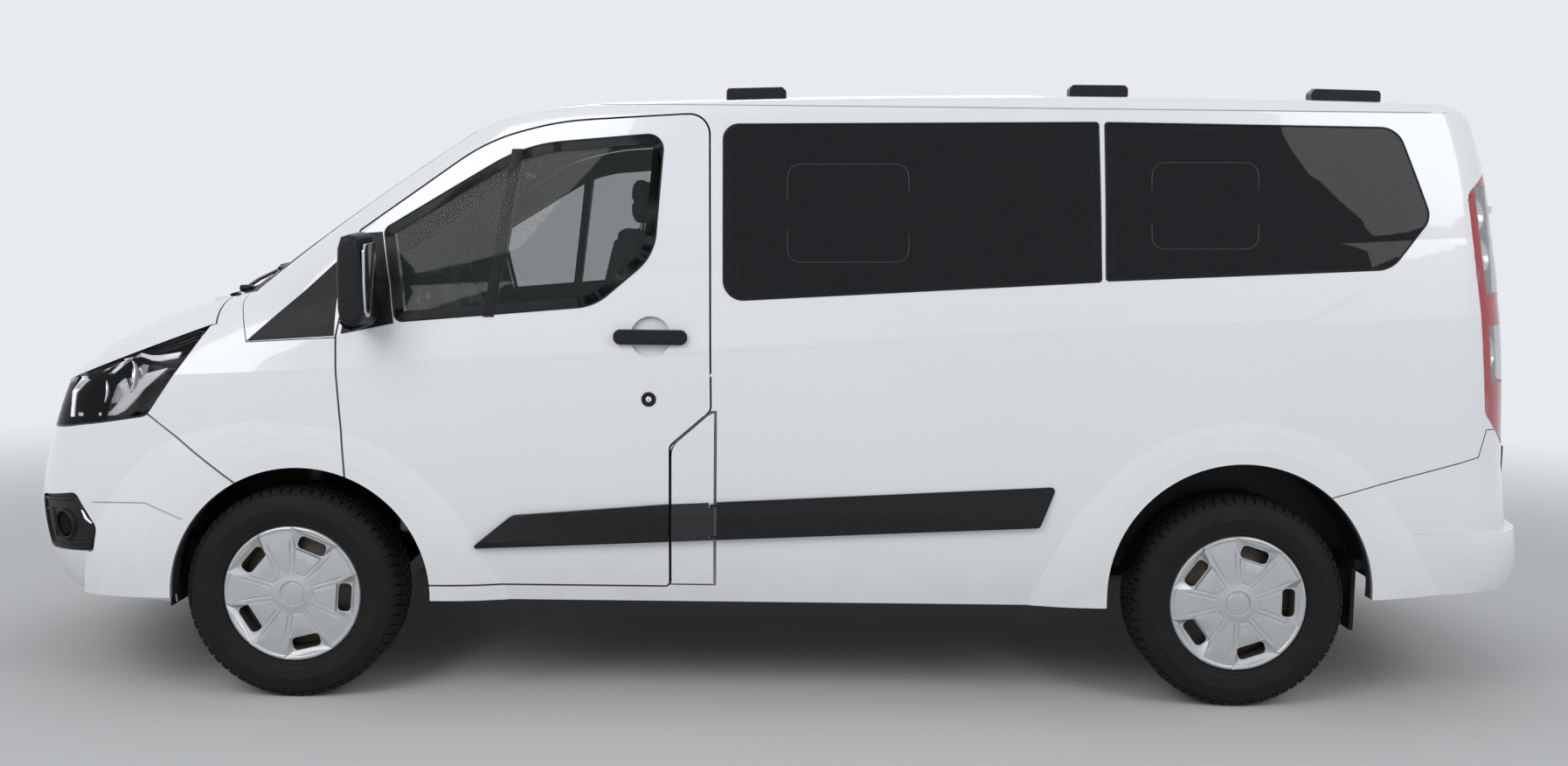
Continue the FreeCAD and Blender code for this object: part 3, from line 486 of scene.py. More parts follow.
def skinOf(node, name, keep):  # a merged copy of some faces of a CAD part
    piece = copied(nodes[node], name)
    with editing(piece):
        bpy.ops.mesh.remove_doubles(threshold=2 * joinReach)
        bpy.ops.mesh.select_all(action="DESELECT")
    for face in piece.data.polygons:
        face.select = not keep(face.center, face.normal)
    bpy.ops.object.mode_set(mode="EDIT")
    bpy.ops.mesh.delete(type="FACE")
    bpy.ops.object.mode_set(mode="OBJECT")
    return piece


trees = {}


def treeOf(node):  # a CAD part's surface for rays, also once it is hidden
    if node not in trees:
        mesh = nodes[node].data
        trees[node] = BVHTree.FromPolygons(
            [v.co for v in mesh.vertices], [p.vertices[:] for p in mesh.polygons]
        )
    return trees[node]


def struck(node, origin, direction):  # where a ray meets a part, and how the part faces there
    return treeOf(node).ray_cast(Vector(origin), Vector(direction))[:2]


wheelLook = {
    "treadRadius": 0.330,
    "grooveDepth": 0.008,
    "pitches": 64,
    "trimRadius": 0.2125,
    "slots": 5,
    "frontTurn": 22.5,
    "rearTurn": 17.5,
    "slotHalf": (0.0445, 0.0205),
    "slotMiddle": 0.1594,
}
wheelPlaces = [
    ("front_left", (-1.4565, -0.868, 0.330), -1, "frontTurn"),
    ("front_right", (-1.4565, 0.868, 0.330), 1, "frontTurn"),
    ("rear_left", (1.4765, -0.860, 0.330), -1, "rearTurn"),
    ("rear_right", (1.4765, 0.860, 0.330), 1, "rearTurn"),
]


def about(angle):  # a turn about the axle, clockwise seen from the left
    return Matrix.Rotation(math.radians(angle), 4, "Y")


def makeTyre():
    outer = wheelLook["treadRadius"]
    floor = outer - wheelLook["grooveDepth"]
    half = [
        (0.2135, 0.086), (0.2165, 0.0925), (0.222, 0.0965), (0.226, 0.0962), (0.232, 0.1000),
        (0.247, 0.1040), (0.262, 0.1062), (0.2655, 0.1075), (0.2690, 0.1075), (0.2725, 0.1062),
        (0.286, 0.1052), (0.2895, 0.1035), (0.300, 0.1010), (0.3085, 0.0970), (0.3150, 0.0905),
        (floor - 0.002, 0.0820), (floor, 0.0600),
    ]
    profile = [(0.209, 0.0)] + [(0.209, 0.078)] + half
    whole = profile + [(r, -w) for r, w in reversed(profile[1:])] + [(0.209, 0.0)]
    tyre = turned("tyre", whole, 96)
    ribs = [
        ([
            (floor - 0.002, 0.084), (0.3150, 0.0925), (0.3195, 0.0920), (0.3265, 0.0830), (outer, 0.0700),
            (outer, 0.0590), (floor - 0.002, 0.0590),
        ], 0.80, 0.0),
        ([(floor - 0.002, 0.0500), (outer, 0.0490), (outer, 0.0270), (floor - 0.002, 0.0260)], 0.84, 0.35),
        ([(floor - 0.002, 0.0170), (outer, 0.0160), (outer, -0.0160), (floor - 0.002, -0.0170)], 0.90, 0.6),
    ]
    pitch = 360 / wheelLook["pitches"]
    blocks = []
    for profileOf, share, shift in ribs:
        sides = (1, -1) if profileOf[0][1] > 0.02 else (1,)
        for side in sides:
            first = turned(
                "treadBlock",
                [(r, w * side) for r, w in profileOf] + [(profileOf[0][0], profileOf[0][1] * side)], 2,
                pitch * share, True
            )
            for i in range(wheelLook["pitches"]):
                blocks.append(copied(first, "treadBlock", about(pitch * (i + shift))))
            bpy.data.objects.remove(first)
    return joined("tyre", [tyre] + blocks)


def slotCutter(low, high, corner):
    bpy.ops.mesh.primitive_cube_add(size=1)
    piece = bpy.context.object
    piece.name = "slot"
    half, rise = wheelLook["slotHalf"]
    middle = wheelLook["slotMiddle"]
    for point in piece.data.vertices:
        x, y, z = point.co
        point.co = (x * 2 * half, low if y < 0 else high, middle + z * 2 * rise)
    bpy.ops.object.mode_set(mode="EDIT")
    bpy.ops.mesh.select_all(action="DESELECT")
    bpy.ops.object.mode_set(mode="OBJECT")
    for edge in piece.data.edges:
        a, b = (piece.data.vertices[i].co for i in edge.vertices)
        edge.select = abs(a.y - b.y) > 0.001
    bpy.ops.object.mode_set(mode="EDIT")
    bpy.ops.mesh.bevel(offset=corner, segments=5, affect="EDGES")
    bpy.ops.object.mode_set(mode="OBJECT")
    return piece


def pocketCutter():
    bpy.ops.mesh.primitive_cube_add(size=1)
    piece = bpy.context.object
    piece.name = "pocket"
    corners = {
        (-1, 1): (-0.0475, 0.1370),
        (1, 1): (0.0475, 0.1370),
        (-1, 2): (-0.0500, 0.1820),
        (1, 2): (0.0500, 0.1820),
        (-1, 3): (-0.0440, 0.1345),
        (1, 3): (0.0440, 0.1345),
        (-1, 4): (-0.0860, 0.1985),
        (1, 4): (0.0860, 0.1985),
    }
    for point in piece.data.vertices:
        x, y, z = point.co
        row = (1 if z < 0 else 2) + (2 if y > 0 else 0)
        u, v = corners[(-1 if x < 0 else 1, row)]
        point.co = (u, 0.0965 if y > 0 else 0.0790, v)
    return piece


def grooveCutter(side, near, far, width, depth):
    (u0, v0), (u1, v1) = near, far
    run = math.hypot(u1 - u0, v1 - v0)
    piece = block("groove", (-width / 2, 0.0925 - depth, 0), (width / 2, 0.10, run), width * 0.35, 2)
    lean = math.atan2(u1 - u0, v1 - v0)
    piece.data.transform(Matrix.Translation((side * u0, 0, v0)) @ Matrix.Rotation(side * lean, 4, "Y"))
    return piece


def makeTrim():
    edge = wheelLook["trimRadius"]
    profile = [
        (0.0, 0.0755), (0.0, 0.0912), (0.0330, 0.0915), (0.0350, 0.0895), (0.0372, 0.0895),
        (0.0390, 0.0935), (0.0440, 0.0935), (0.0490, 0.0915), (0.0700, 0.0920), (0.1000, 0.0928),
        (0.1500, 0.0928), (0.1900, 0.0912), (0.1985, 0.0905), (0.2005, 0.0925), (0.2050, 0.0938),
        (0.2095, 0.0920), (edge, 0.0870), (edge - 0.001, 0.0800), (0.2000, 0.0755), (0.0, 0.0755),
    ]
    trim = turned("trim", profile, 120)
    turnStep = 360 / wheelLook["slots"]
    tools = {
        "pocket": [pocketCutter()],
        "slot": [slotCutter(0.05, 0.12, 0.015)],
        "groove": [grooveCutter(s, near, far, 0.0052, 0.0022) for s in (1, -1) for near, far in (
            ((0.0150, 0.0640), (0.0430, 0.1330)), ((0.0290, 0.0620), (0.0640, 0.1480)))],
    }
    tools["groove"].append(grooveCutter(1, (-0.0150, 0.0640), (0.0150, 0.0640), 0.0052, 0.0022))
    for kind, shapes in tools.items():
        first = joined(kind, shapes) if len(shapes) > 1 else shapes[0]
        turns = [copied(first, kind, about(turnStep * i)) for i in range(1, wheelLook["slots"])]
        cutter = joined(kind, [first] + turns)
        cutBy(trim, cutter, kind == "groove")
    apply(trim, "BEVEL", width=0.0007, segments=2, limit_method="ANGLE", angle_limit=math.radians(28))
    return trim


def makeRim():
    profile = [
        (0.2085, -0.093), (0.2085, -0.080), (0.190, -0.076), (0.184, -0.030), (0.190, 0.070),
        (0.2085, 0.079), (0.2085, 0.086), (0.2030, 0.088), (0.1985, 0.082), (0.1830, 0.074),
        (0.1760, 0.060), (0.1700, -0.020), (0.1760, -0.070), (0.2000, -0.093), (0.2085, -0.093),
    ]
    barrel = turned("rimBarrel", profile, 96)
    dish = [
        (0.024, 0.030), (0.060, 0.034), (0.075, 0.052), (0.110, 0.060), (0.140, 0.044), (0.1720, 0.036),
        (0.1720, 0.032), (0.138, 0.040), (0.108, 0.056), (0.078, 0.048), (0.063, 0.030), (0.024, 0.026),
        (0.024, 0.030),
    ]
    disc = turned("rimDisc", dish, 96)
    return joined("steelRim", [barrel, disc])


def makeWheels():
    tyre = makeTyre()
    trim = makeTrim()
    rim = makeRim()
    for name, place, side, turn in wheelPlaces:
        body = bodyOf[name + "_tyre"]
        move = Matrix.Translation(place) @ Matrix.Scale(side, 4, (0, 1, 0)) @ about(wheelLook[turn])
        piece = finished(copied(tyre, name + "_tyre_tread", move), body, "tyre", 24)
        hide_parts(name + "_tyre")
        cover = finished(copied(trim, name + "_wheel_trim", move), body, "wheel_silver", 28)
        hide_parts(name + "_wheel")
        finished(copied(rim, name + "_steel_rim", move), body, "dark_steel", 28)
    for piece in (tyre, trim, rim):
        bpy.data.objects.remove(piece)
    print("wheels made")


makeWheels()


sides = ((-1, "left"), (1, "right"))
sealLook = {
    "doorWidth": 0.030,
    "doorRise": 0.0015,
    "doorBead": 0.0032,
    "sideBead": 0.0030,
}


def facingOut(side):
    return lambda centre, normal: normal.y * side > 0.45


def ringOf(node, name, keep, width, rise):  # a band along the edge of a pane
    piece = skinOf(node, name, keep)
    with editing(piece):
        bpy.ops.mesh.dissolve_limited(angle_limit=math.radians(0.6))
        bpy.ops.mesh.inset(thickness=width, use_boundary=True, use_even_offset=True)
        bpy.ops.mesh.delete(type="FACE")
    apply(piece, "SOLIDIFY", thickness=-rise * 2, offset=0)
    return piece


def thickened(piece, radius, capped, roundness=2):  # a wire becomes a round bead
    lay(piece)
    bpy.ops.object.convert(target="CURVE")
    wire = bpy.context.object.data
    wire.bevel_depth = radius
    wire.bevel_resolution = roundness
    wire.use_fill_caps = capped
    bpy.ops.object.convert(target="MESH")
    return bpy.context.object


def tube(name, spots, radius, closed=False, roundness=2):  # a round bead that follows points
    piece = path(name, [tuple(spot) for spot in spots])
    if closed:  # the last point is tied to the first
        with editing(piece, "DESELECT"):
            bpy.ops.mesh.select_mode(type="VERT")
        piece.data.vertices[0].select = True
        piece.data.vertices[len(spots) - 1].select = True
        bpy.ops.object.mode_set(mode="EDIT")
        bpy.ops.mesh.edge_face_add()
        bpy.ops.object.mode_set(mode="OBJECT")
    piece = thickened(piece, radius, not closed, roundness)
    outward(piece)
    return piece


def between(points, steps):  # a row of points filled in between its corners
    filled = []
    for first, second in zip(points, points[1:]):
        for i in range(steps):
            filled.append(tuple(a + (b - a) * i / steps for a, b in zip(first, second)))
    return filled + [points[-1]]


def beadOf(node, name, keep, radius):  # a round seal along the free edges of a pane
    piece = skinOf(node, name, keep)
    with editing(piece):
        bpy.ops.mesh.select_mode(type="EDGE")
        bpy.ops.mesh.select_all(action="SELECT")
        bpy.ops.mesh.region_to_loop()
        bpy.ops.mesh.select_all(action="INVERT")
        bpy.ops.mesh.delete(type="EDGE_FACE")
        bpy.ops.mesh.select_mode(type="VERT")
        bpy.ops.mesh.select_all(action="SELECT")
        bpy.ops.mesh.delete_loose(use_verts=True, use_edges=False, use_faces=False)
    return thickened(piece, radius, False)


def makeSeals():
    for side, word in sides:
        body = "front_" + word + "_door"
        glass = body + "_glass"
        ring = ringOf(
            glass, glass + "_surround", facingOut(side), sealLook["doorWidth"], sealLook["doorRise"]
        )
        finished(ring, body, "black_plastic")
        finished(beadOf(glass, glass + "_bead", facingOut(side), sealLook["doorBead"]), body, "black_plastic")
        back = "rear_" + word + "_door"
        bead = beadOf(back + "_glass", back + "_glass_bead", lambda c, n: n.x > 0.45, sealLook["doorBead"])
        finished(bead, back, "black_plastic")
    for side, word in sides:
        keep = lambda c, n, side=side: n.y * side > 0.45 and c.y * side > 0
        bead = beadOf("side_glass", "side_glass_bead_" + word, keep, sealLook["sideBead"])
        finished(bead, "body", "black_plastic")
    print("seals made")


dividerLook = {
    "top": (-0.7700, 1.680),
    "foot": (-0.8380, 1.220),
    "reach": 0.055,
    "width": 0.034,
}


def onSkin(node, x, z, side, lift=0.0):  # where a line across the car meets the outer skin of a part
    place = struck(node, (x, side * 1.5, z), (0, -side, 0))[0]
    return place and place + Vector((0, side * lift, 0))


def makeDividers():
    (x0, z0), (x1, z1) = dividerLook["top"], dividerLook["foot"]
    half = dividerLook["width"] / 2
    for side, word in sides:
        body = "front_" + word + "_door"
        high = onSkin(body + "_glass", x0, z0, side, 0.0008)
        low = onSkin(body + "_glass", x1, z1, side, 0.0008)
        top = high + (high - low) * dividerLook["reach"]
        foot = low - (high - low) * dividerLook["reach"]
        outline = [
            (top.x - half, top.y, top.z), (top.x + half, top.y, top.z), (foot.x + half, foot.y, foot.z),
            (foot.x - half, foot.y, foot.z),
        ]
        finished(plate(body + "_window_bar", outline, 0.005, 0.0012), body, "black_plastic")


mirrorLook = {
    "outline": [(-1.2530, 1.2150), (-1.2545, 1.3200), (-1.2500, 1.4050), (-1.2380, 1.4400), (-1.2130, 1.4475),
                (-1.1900, 1.4440), (-1.1790, 1.4300), (-1.1720, 1.3300), (-1.1680, 1.2100), (-1.1700, 1.1850),
                (-1.1820, 1.1700), (-1.2040, 1.1620), (-1.2280, 1.1660), (-1.2460, 1.1820)],
    "middle": (-1.2105, 1.305),
    "taper": (0.16, 0.07),
    "headStart": 0.9670,
    "inner": 0.972,
    "outer": 1.1355,
}


def makeMirrors():
    look = mirrorLook
    (middleX, middleZ), (alongTaper, upTaper) = look["middle"], look["taper"]
    for side, word in sides:
        body = "front_" + word + "_door"
        shell = slab(
            body + "_mirror_shell", look["outline"], "xz", side * look["inner"], side * look["outer"]
        )
        apply(shell, "BEVEL", width=0.020, segments=5, limit_method="ANGLE", angle_limit=math.radians(60))
        for point in shell.data.vertices:  # the shell narrows outwards and bulges forward
            share = (abs(point.co.y) - look["inner"]) / (look["outer"] - look["inner"])
            point.co.x = middleX + (point.co.x - middleX) * (1 - alongTaper * share * share)
            point.co.z = middleZ + (point.co.z - middleZ) * (1 - upTaper * share * share)
        finished(shell, body, "black_plastic", 40)
        rest = lambda c, n: not (abs(c.y) > look["headStart"] and c.x < -1.15 and c.z > 1.15)
        kept = skinOf(body + "_fittings", body + "_sail_handle_moulding", rest)
        finished(kept, body, "black_plastic", 30)
        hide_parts(body + "_fittings")
        pane = [(abs(y), z) for y, z in (
            (1.000, 1.196), (0.995, 1.300), (1.000, 1.418), (1.100, 1.412), (1.115, 1.392), (1.118, 1.300),
            (1.112, 1.212), (1.098, 1.198)
        )]
        glass = slab(body + "_mirror_pane", [(side * y, z) for y, z in pane], "yz", -1.1760, -1.1665, 0.0015)
        finished(glass, body, "mirror", 40)
        arm = block(
            body + "_mirror_arm", (-1.240, min(side * 0.90, side * 1.02), 1.186),
            (-1.186, max(side * 0.90, side * 1.02), 1.232), 0.016, 4
        )
        finished(arm, body, "black_plastic", 40)
        lens = [
            (-1.2440, 1.1830), (-1.2300, 1.1650), (-1.2060, 1.1600), (-1.1850, 1.1660), (-1.1870, 1.1720),
            (-1.2060, 1.1680), (-1.2260, 1.1730), (-1.2400, 1.1900),
        ]
        lamp = slab(body + "_mirror_indicator", lens, "xz", side * 1.02, side * 1.120, 0.0015)
        finished(lamp, body, "lamp_clear", 40)
    print("mirrors made")


lockPlace = (-0.351, 0.951)


def makeDoorDetails():
    for side, word in sides:
        body = "front_" + word + "_door"
        spot = onSkin(body, *lockPlace, side)
        place = Matrix.Translation(spot) @ Matrix.Scale(side, 4, (0, 1, 0))
        ring = turned(body + "_lock_ring", [
            (0.0, 0.0), (0.0225, 0.0), (0.0225, 0.0016), (0.0205, 0.0030), (0.0130, 0.0030),
            (0.0120, 0.0020), (0.0, 0.0020), (0.0, 0.0),
        ], 40)
        ring.data.transform(place)
        outward(ring)
        finished(ring, body, "black_plastic")
        core = turned(body + "_lock_core", [
            (0.0, 0.0), (0.0085, 0.0), (0.0085, 0.0030), (0.0070, 0.0036), (0.0, 0.0036), (0.0, 0.0),
        ], 32)
        key = block("keyway", (-0.0009, -0.002, -0.005), (0.0009, 0.006, 0.005))
        cutBy(core, key)
        core.data.transform(place)
        outward(core)
        finished(core, body, "chrome")


makeSeals()
makeDividers()
makeMirrors()
makeDoorDetails()


def seen(pixel, node, deeper=0.0):  # the point of a part under a pixel of the photograph
    wide, tall = view["photo"]
    focal = view["lens"] / view["sensor"] * wide
    ray = viewTurn.to_3x3() @ Vector(((pixel[0] - wide / 2) / focal, (tall / 2 - pixel[1]) / focal, -1))
    ray.normalize()
    place = struck(node, view["place"], ray)[0]
    if place is None:  # beside the part: its point nearest to the ray
        place = treeOf(node).find_nearest(Vector(view["place"]) + ray * view["reach"])[0]
    return place + ray * deeper


def band(name, first, second, thickness, bevel=0.0):  # a strip between two rows of points
    piece = joined(name, [path(name, [tuple(p) for p in row]) for row in (first, second)])
    with editing(piece):
        bpy.ops.mesh.bridge_edge_loops()
        bpy.ops.mesh.normals_make_consistent(inside=False)
    apply(piece, "SOLIDIFY", thickness=thickness, offset=0)
    if bevel:
        apply(piece, "BEVEL", width=bevel, segments=2, limit_method="ANGLE")
    outward(piece)
    return piece


def both(piece, name, body, look, angle=32):  # a piece and its twin on the other side of the car
    twin = copied(piece, name + "_right", acrossCar)
    finished(piece, body, look, angle).name = name + "_left"
    return piece, finished(twin, body, look, angle)


headlampLook = {
    "upperTop": [
        (82.0, 476.7), (84.2, 447.4), (95.9, 431.2), (117.9, 418.7), (142.1, 408.0), (162.7, 403.8),
        (174.4, 406.6), (184.0, 406.3), (208.5, 402.6),
    ],
    "upperLow": [
        (86.0, 476.7), (88.3, 449.6), (100.8, 436.8), (122.1, 423.2), (145.5, 411.8), (162.7, 408.3),
        (175.2, 412.8), (184.0, 413.3), (204.0, 409.9),
    ],
    "lowerOut": [
        (91.5, 476.0), (115.7, 476.0), (133.3, 474.8), (143.1, 469.9), (155.8, 456.7), (165.9, 444.2),
        (190.0, 423.5),
    ],
    "lowerIn": [
        (90.8, 471.6), (115.7, 471.6), (127.5, 470.5), (139.4, 456.4), (154.1, 442.2), (168.3, 426.8),
        (192.8, 420.7),
    ],
    "bezel": [
        (103.0, 461.0), (104.5, 446.0), (118.0, 434.5), (128.0, 431.5), (136.0, 422.0), (152.0, 415.5),
        (170.5, 417.5), (167.0, 431.0), (157.0, 443.5), (141.0, 459.5), (121.0, 462.5),
    ],
    "units": [((150.5, 432.5), 0.050), ((120.0, 448.5), 0.043)],
    "aim": (-0.80, -0.58, 0.14),
    "fins": [
        ((176.0, 399.5), (236.0, 376.5)), ((180.0, 402.0), (233.0, 381.5)),
        ((186.0, 402.5), (229.5, 386.5)),
    ],
}
lensFacing = Vector((-0.62, 0.75, 0.2))


def outerFace(side, high):  # the see-through faces of the front lamps
    facing = Vector((lensFacing.x, lensFacing.y * side, lensFacing.z))
    return lambda c, n: c.y * side > 0 and (c.z > 0.7) == high and n.dot(facing) > 0.45 and abs(n.y) > 0.05


def innerFace(side, high):
    outer = outerFace(side, high)
    return lambda c, n: c.y * side > 0 and (c.z > 0.7) == high and not outer(c, n)


def shellOf(node, name, keep, wall):
    piece = skinOf(node, name, keep)
    apply(piece, "SOLIDIFY", thickness=wall, offset=-1, use_even_offset=False)
    return piece


def aimed(piece, aim, place):  # a turned piece is set along its new axis
    turn = Vector((0, 1, 0)).rotation_difference(Vector(aim)).to_matrix().to_4x4()
    piece.data.transform(Matrix.Translation(place) @ turn)
    return piece


def sized(r, rows):  # a profile given in shares of its radius
    return [(r * share, w) for share, w in rows]


def makeLampUnit(name, r):
    bowl = sized(r, [
        (0.0, -0.026), (0.45, -0.024), (0.78, -0.014), (1, 0.004), (1.06, 0.006), (1.09, 0.003),
        (0.86, -0.017), (0.5, -0.028), (0.0, -0.030), (0.0, -0.026),
    ])
    ring = sized(r, [
        (0.60, -0.020), (0.60, 0.002), (0.66, 0.006), (0.71, 0.003), (0.70, -0.020), (0.60, -0.020),
    ])
    eye = sized(r, [
        (0.0, 0.012), (0.22, 0.0105), (0.42, 0.0060), (0.56, -0.0015), (0.60, -0.007), (0.60, -0.012),
        (0.0, -0.012), (0.0, 0.012),
    ])
    chrome = joined(name + "_bowl", [turned(name, bowl, 48), turned(name, ring, 48)])
    return chrome, turned(name + "_eye", eye, 48)


def makeHeadlamps():
    look = headlampLook
    for side, word in sides:
        shell = finished(shellOf(
            "front_lamps", "headlamp_lens_" + word, outerFace(side, True), 0.003
        ), "body", "lamp_clear")
        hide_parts("front_lamps")
        finished(shellOf(
            "front_lamps", "headlamp_bowl_" + word, innerFace(side, True), 0.002
        ), "body", "lamp_dark")
        finished(shellOf(
            "front_lamps", "fog_lamp_lens_" + word, outerFace(side, False), 0.002
        ), "body", "lamp_clear")
        finished(shellOf(
            "front_lamps", "fog_lamp_case_" + word, innerFace(side, False), 0.001
        ), "body", "lamp_dark")
    depth = 0.007
    # the light guides get a finish with a painted glow for the sky they reflect
    upper = band(
        "upper_guide", [seen(p, "front_lamps", depth) for p in look["upperTop"]],
        [seen(p, "front_lamps", depth) for p in look["upperLow"]], 0.008, 0.002
    )
    both(upper, "headlamp_upper_guide", "body", "lamp_guide_painted_glow", 40)
    lower = band(
        "lower_guide", [seen(p, "front_lamps", depth + 0.004) for p in look["lowerOut"]],
        [seen(p, "front_lamps", depth + 0.004) for p in look["lowerIn"]], 0.010, 0.002
    )
    both(lower, "headlamp_lower_guide", "body", "lamp_guide_painted_glow", 40)
    # the bezel and the lamp bowls get the silver finish with a painted glow of reflected sky
    field = plate("unit_bezel", [seen(p, "front_lamps", 0.044) for p in look["bezel"]], 0.003)
    both(field, "headlamp_unit_bezel", "body", "lamp_silver_painted_glow", 40)
    for number, (pixel, r) in enumerate(look["units"]):
        name = "headlamp_unit_" + str(number + 1)
        bowl, eye = makeLampUnit(name, r)
        place = seen(pixel, "front_lamps", 0.034)
        both(aimed(bowl, look["aim"], place), name + "_bowl", "body", "lamp_silver_painted_glow", 40)
        both(aimed(eye, look["aim"], place), name + "_eye", "body", "lamp_clear", 40)
    fins = []
    for start, end in look["fins"]:
        line = [seen((
            start[0] + (end[0] - start[0]) * i / 6, start[1] + (end[1] - start[1]) * i / 6
        ), "front_lamps", 0.016) for i in range(7)]
        drop = Vector((0, 0, -0.0045))
        fins.append(band("fin", line, [p + drop for p in line], 0.010, 0.0015))
    both(joined("fins", fins), "headlamp_fins", "body", "lamp_dark", 40)
    print("headlamps made")


fogLook = {
    "centre": (-2.190, 0.525),
    "radius": 0.040,
    "wedge": [(94.0, 582.5), (106.5, 581.8), (110.5, 586.0), (116.5, 597.5), (105.0, 598.5), (98.5, 592.0)],
    "ribs": [
        ([(-2.300, 0.590), (-2.225, 0.600), (-2.140, 0.612), (-2.100, 0.566)], 0.014),
        ([
            (-2.292, 0.556), (-2.250, 0.566), (-2.240, 0.520), (-2.238, 0.478), (-2.170, 0.466),
            (-2.088, 0.478),
        ], 0.010),
        ([(-2.276, 0.470), (-2.262, 0.452), (-2.170, 0.452), (-2.092, 0.462)], 0.010),
    ],
}


def makeFogLamps():
    x, z = fogLook["centre"]
    r = fogLook["radius"]
    bowl = turned("fog_bowl", sized(r, [
        (0.0, -0.018), (0.55, -0.016), (0.92, -0.004), (0.98, 0.001), (0.98, -0.003), (0.6, -0.019),
        (0.0, -0.021), (0.0, -0.018),
    ]), 40)
    place, normal = struck("front_lamps", (x, -1.5, z), (0, 1, 0))
    both(aimed(bowl, normal, place - normal * 0.004), "fog_lamp_bowl", "body", "chrome", 40)
    ring = turned("fog_ring", sized(r, [
        (1.00, -0.004), (1.02, 0.006), (1.12, 0.008), (1.22, 0.003), (1.24, -0.004), (1.00, -0.004),
    ]), 48)
    both(aimed(ring, normal, place), "fog_lamp_ring", "body", "black_plastic", 40)
    # the wedge gets the silver finish with a painted glow of reflected sky
    wedge = plate(
        "fog_wedge", [seen(p, "front_bumper_grilles", -0.002) for p in fogLook["wedge"]], 0.008, 0.0018
    )
    both(wedge, "fog_lamp_wedge", "body", "lamp_silver_painted_glow", 40)
    for number, (line, rise) in enumerate(fogLook["ribs"]):
        spots = [onSkin("front_bumper_grilles", x, z, -1) for x, z in between(line, 4)]
        rib = tube("rib", [spot for spot in spots if spot is not None], rise / 2, False, 3)
        both(rib, "fog_bezel_rib_" + str(number + 1), "body", "black_plastic", 60)
    print("fog lamps made")


tailLook = {
    "edgeTop": (2.131, 1.600),
    "edgeFoot": (2.201, 0.933),
    "border": 0.030,
    "redBand": (1.202, 1.297),
    "redFoot": 1.026,
    "innerReach": 0.772,
    "redTop": 1.625,
    "ribPitch": 420.0,
    "reflectors": [1.545, 1.420, 1.115],
    "reflectorRadius": 0.047,
}


def tailLens():
    f = Finish(
        "tailLens", "lamp_red", (0.40, 0.008, 0.010), 0.05, IOR=1.5, Coat_Weight=1.0, Coat_Roughness=0.02
    )
    (x0, z0), (x1, z1) = tailLook["edgeTop"], tailLook["edgeFoot"]
    lean = (x1 - x0) / (z0 - z1)
    depth = f.x - ((z0 - f.z) * lean + x0)
    low, high = tailLook["redBand"]
    stripe = (f.z > low) * (f.z < high)
    inner = f.y.size() < tailLook["innerReach"]
    red = (depth < tailLook["border"]).most(stripe).most(f.z < tailLook["redFoot"]).most(inner)
    red = red.most(f.z > tailLook["redTop"])
    color = f.mix(red, (0.62, 0.62, 0.63), (0.42, 0.006, 0.009))
    f.feed("Base Color", color)
    f.feed("Alpha", red * 0.62 + 0.30)
    ribs = (f.z * tailLook["ribPitch"]).math("SINE") * (1 - red)
    f.bump(ribs, 0.25, 0.002)
    return f


def makeTailLamps():
    looks["tail_lens"] = tailLens()
    for side, word in sides:
        out = Vector((0.7, 0.7 * side, 0))
        outer = lambda c, n, s=side, o=out: c.y * s > 0 and n.dot(o) > 0.5
        back = lambda c, n, s=side, o=out: c.y * s > 0 and n.dot(o) <= 0.5
        lens = finished(shellOf("tail_lamps", "tail_lamp_lens_" + word, outer, 0.003), "body", "tail_lens")
        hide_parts("tail_lamps")
        finished(shellOf("tail_lamps", "tail_lamp_case_" + word, back, 0.002), "body", "lamp_grey")
    for number, z in enumerate(tailLook["reflectors"]):
        bowl = turned("reflector", sized(tailLook["reflectorRadius"], [
            (0.0, -0.016), (0.6, -0.012), (0.95, 0.002), (1, 0.005), (1.05, 0.003), (0.65, -0.015),
            (0.0, -0.019), (0.0, -0.016),
        ]), 40)
        place, normal = struck("tail_lamps", (2.9, -1.5, z), (-0.74, 0.67, 0))
        both(
            aimed(bowl, normal, place - normal * 0.030), "tail_lamp_reflector_" + str(number + 1), "body",
            "chrome", 40
        )
    print("tail lamps made")


looks["lamp_dark"] = plainLook(
    "lampDark", "black_plastic", (0.012, 0.013, 0.015), (0.025, 0.026, 0.029), 0.30, 8.0, 300.0,
    Coat_Weight=0.6, Coat_Roughness=0.05
)
looks["lamp_grey"] = plainLook(
    "lampGrey", "lamp_clear", (0.34, 0.34, 0.35), (0.48, 0.48, 0.49), 0.32, 10.0, 200.0, Metallic=0.7
)
# the light guides glow weakly: a painted glow that stands in for the sky reflected in them, as the lamps are
# not lit
looks["lamp_guide_painted_glow"] = plainLook(
    "lampGuidePaintedGlow", "lamp_clear", (0.82, 0.83, 0.84), (0.90, 0.91, 0.92), 0.22, 6.0, 150.0, Coat_Weight=1.0,
    Coat_Roughness=0.04, Emission_Color=(0.92, 0.95, 1.0, 1), Emission_Strength=0.26
)
# the silver bezel, lamp bowls and fog lamp wedge glow faintly blue: a painted reflection of the sky, the
# lamps are not lit
looks["lamp_silver_painted_glow"] = plainLook(
    "lampSilverPaintedGlow", "lamp_clear", (0.74, 0.75, 0.77), (0.84, 0.85, 0.87), 0.24, 9.0, 180.0, Metallic=0.75,
    Emission_Color=(0.9, 0.93, 1.0, 1), Emission_Strength=0.10
)
makeHeadlamps()
makeFogLamps()
makeTailLamps()


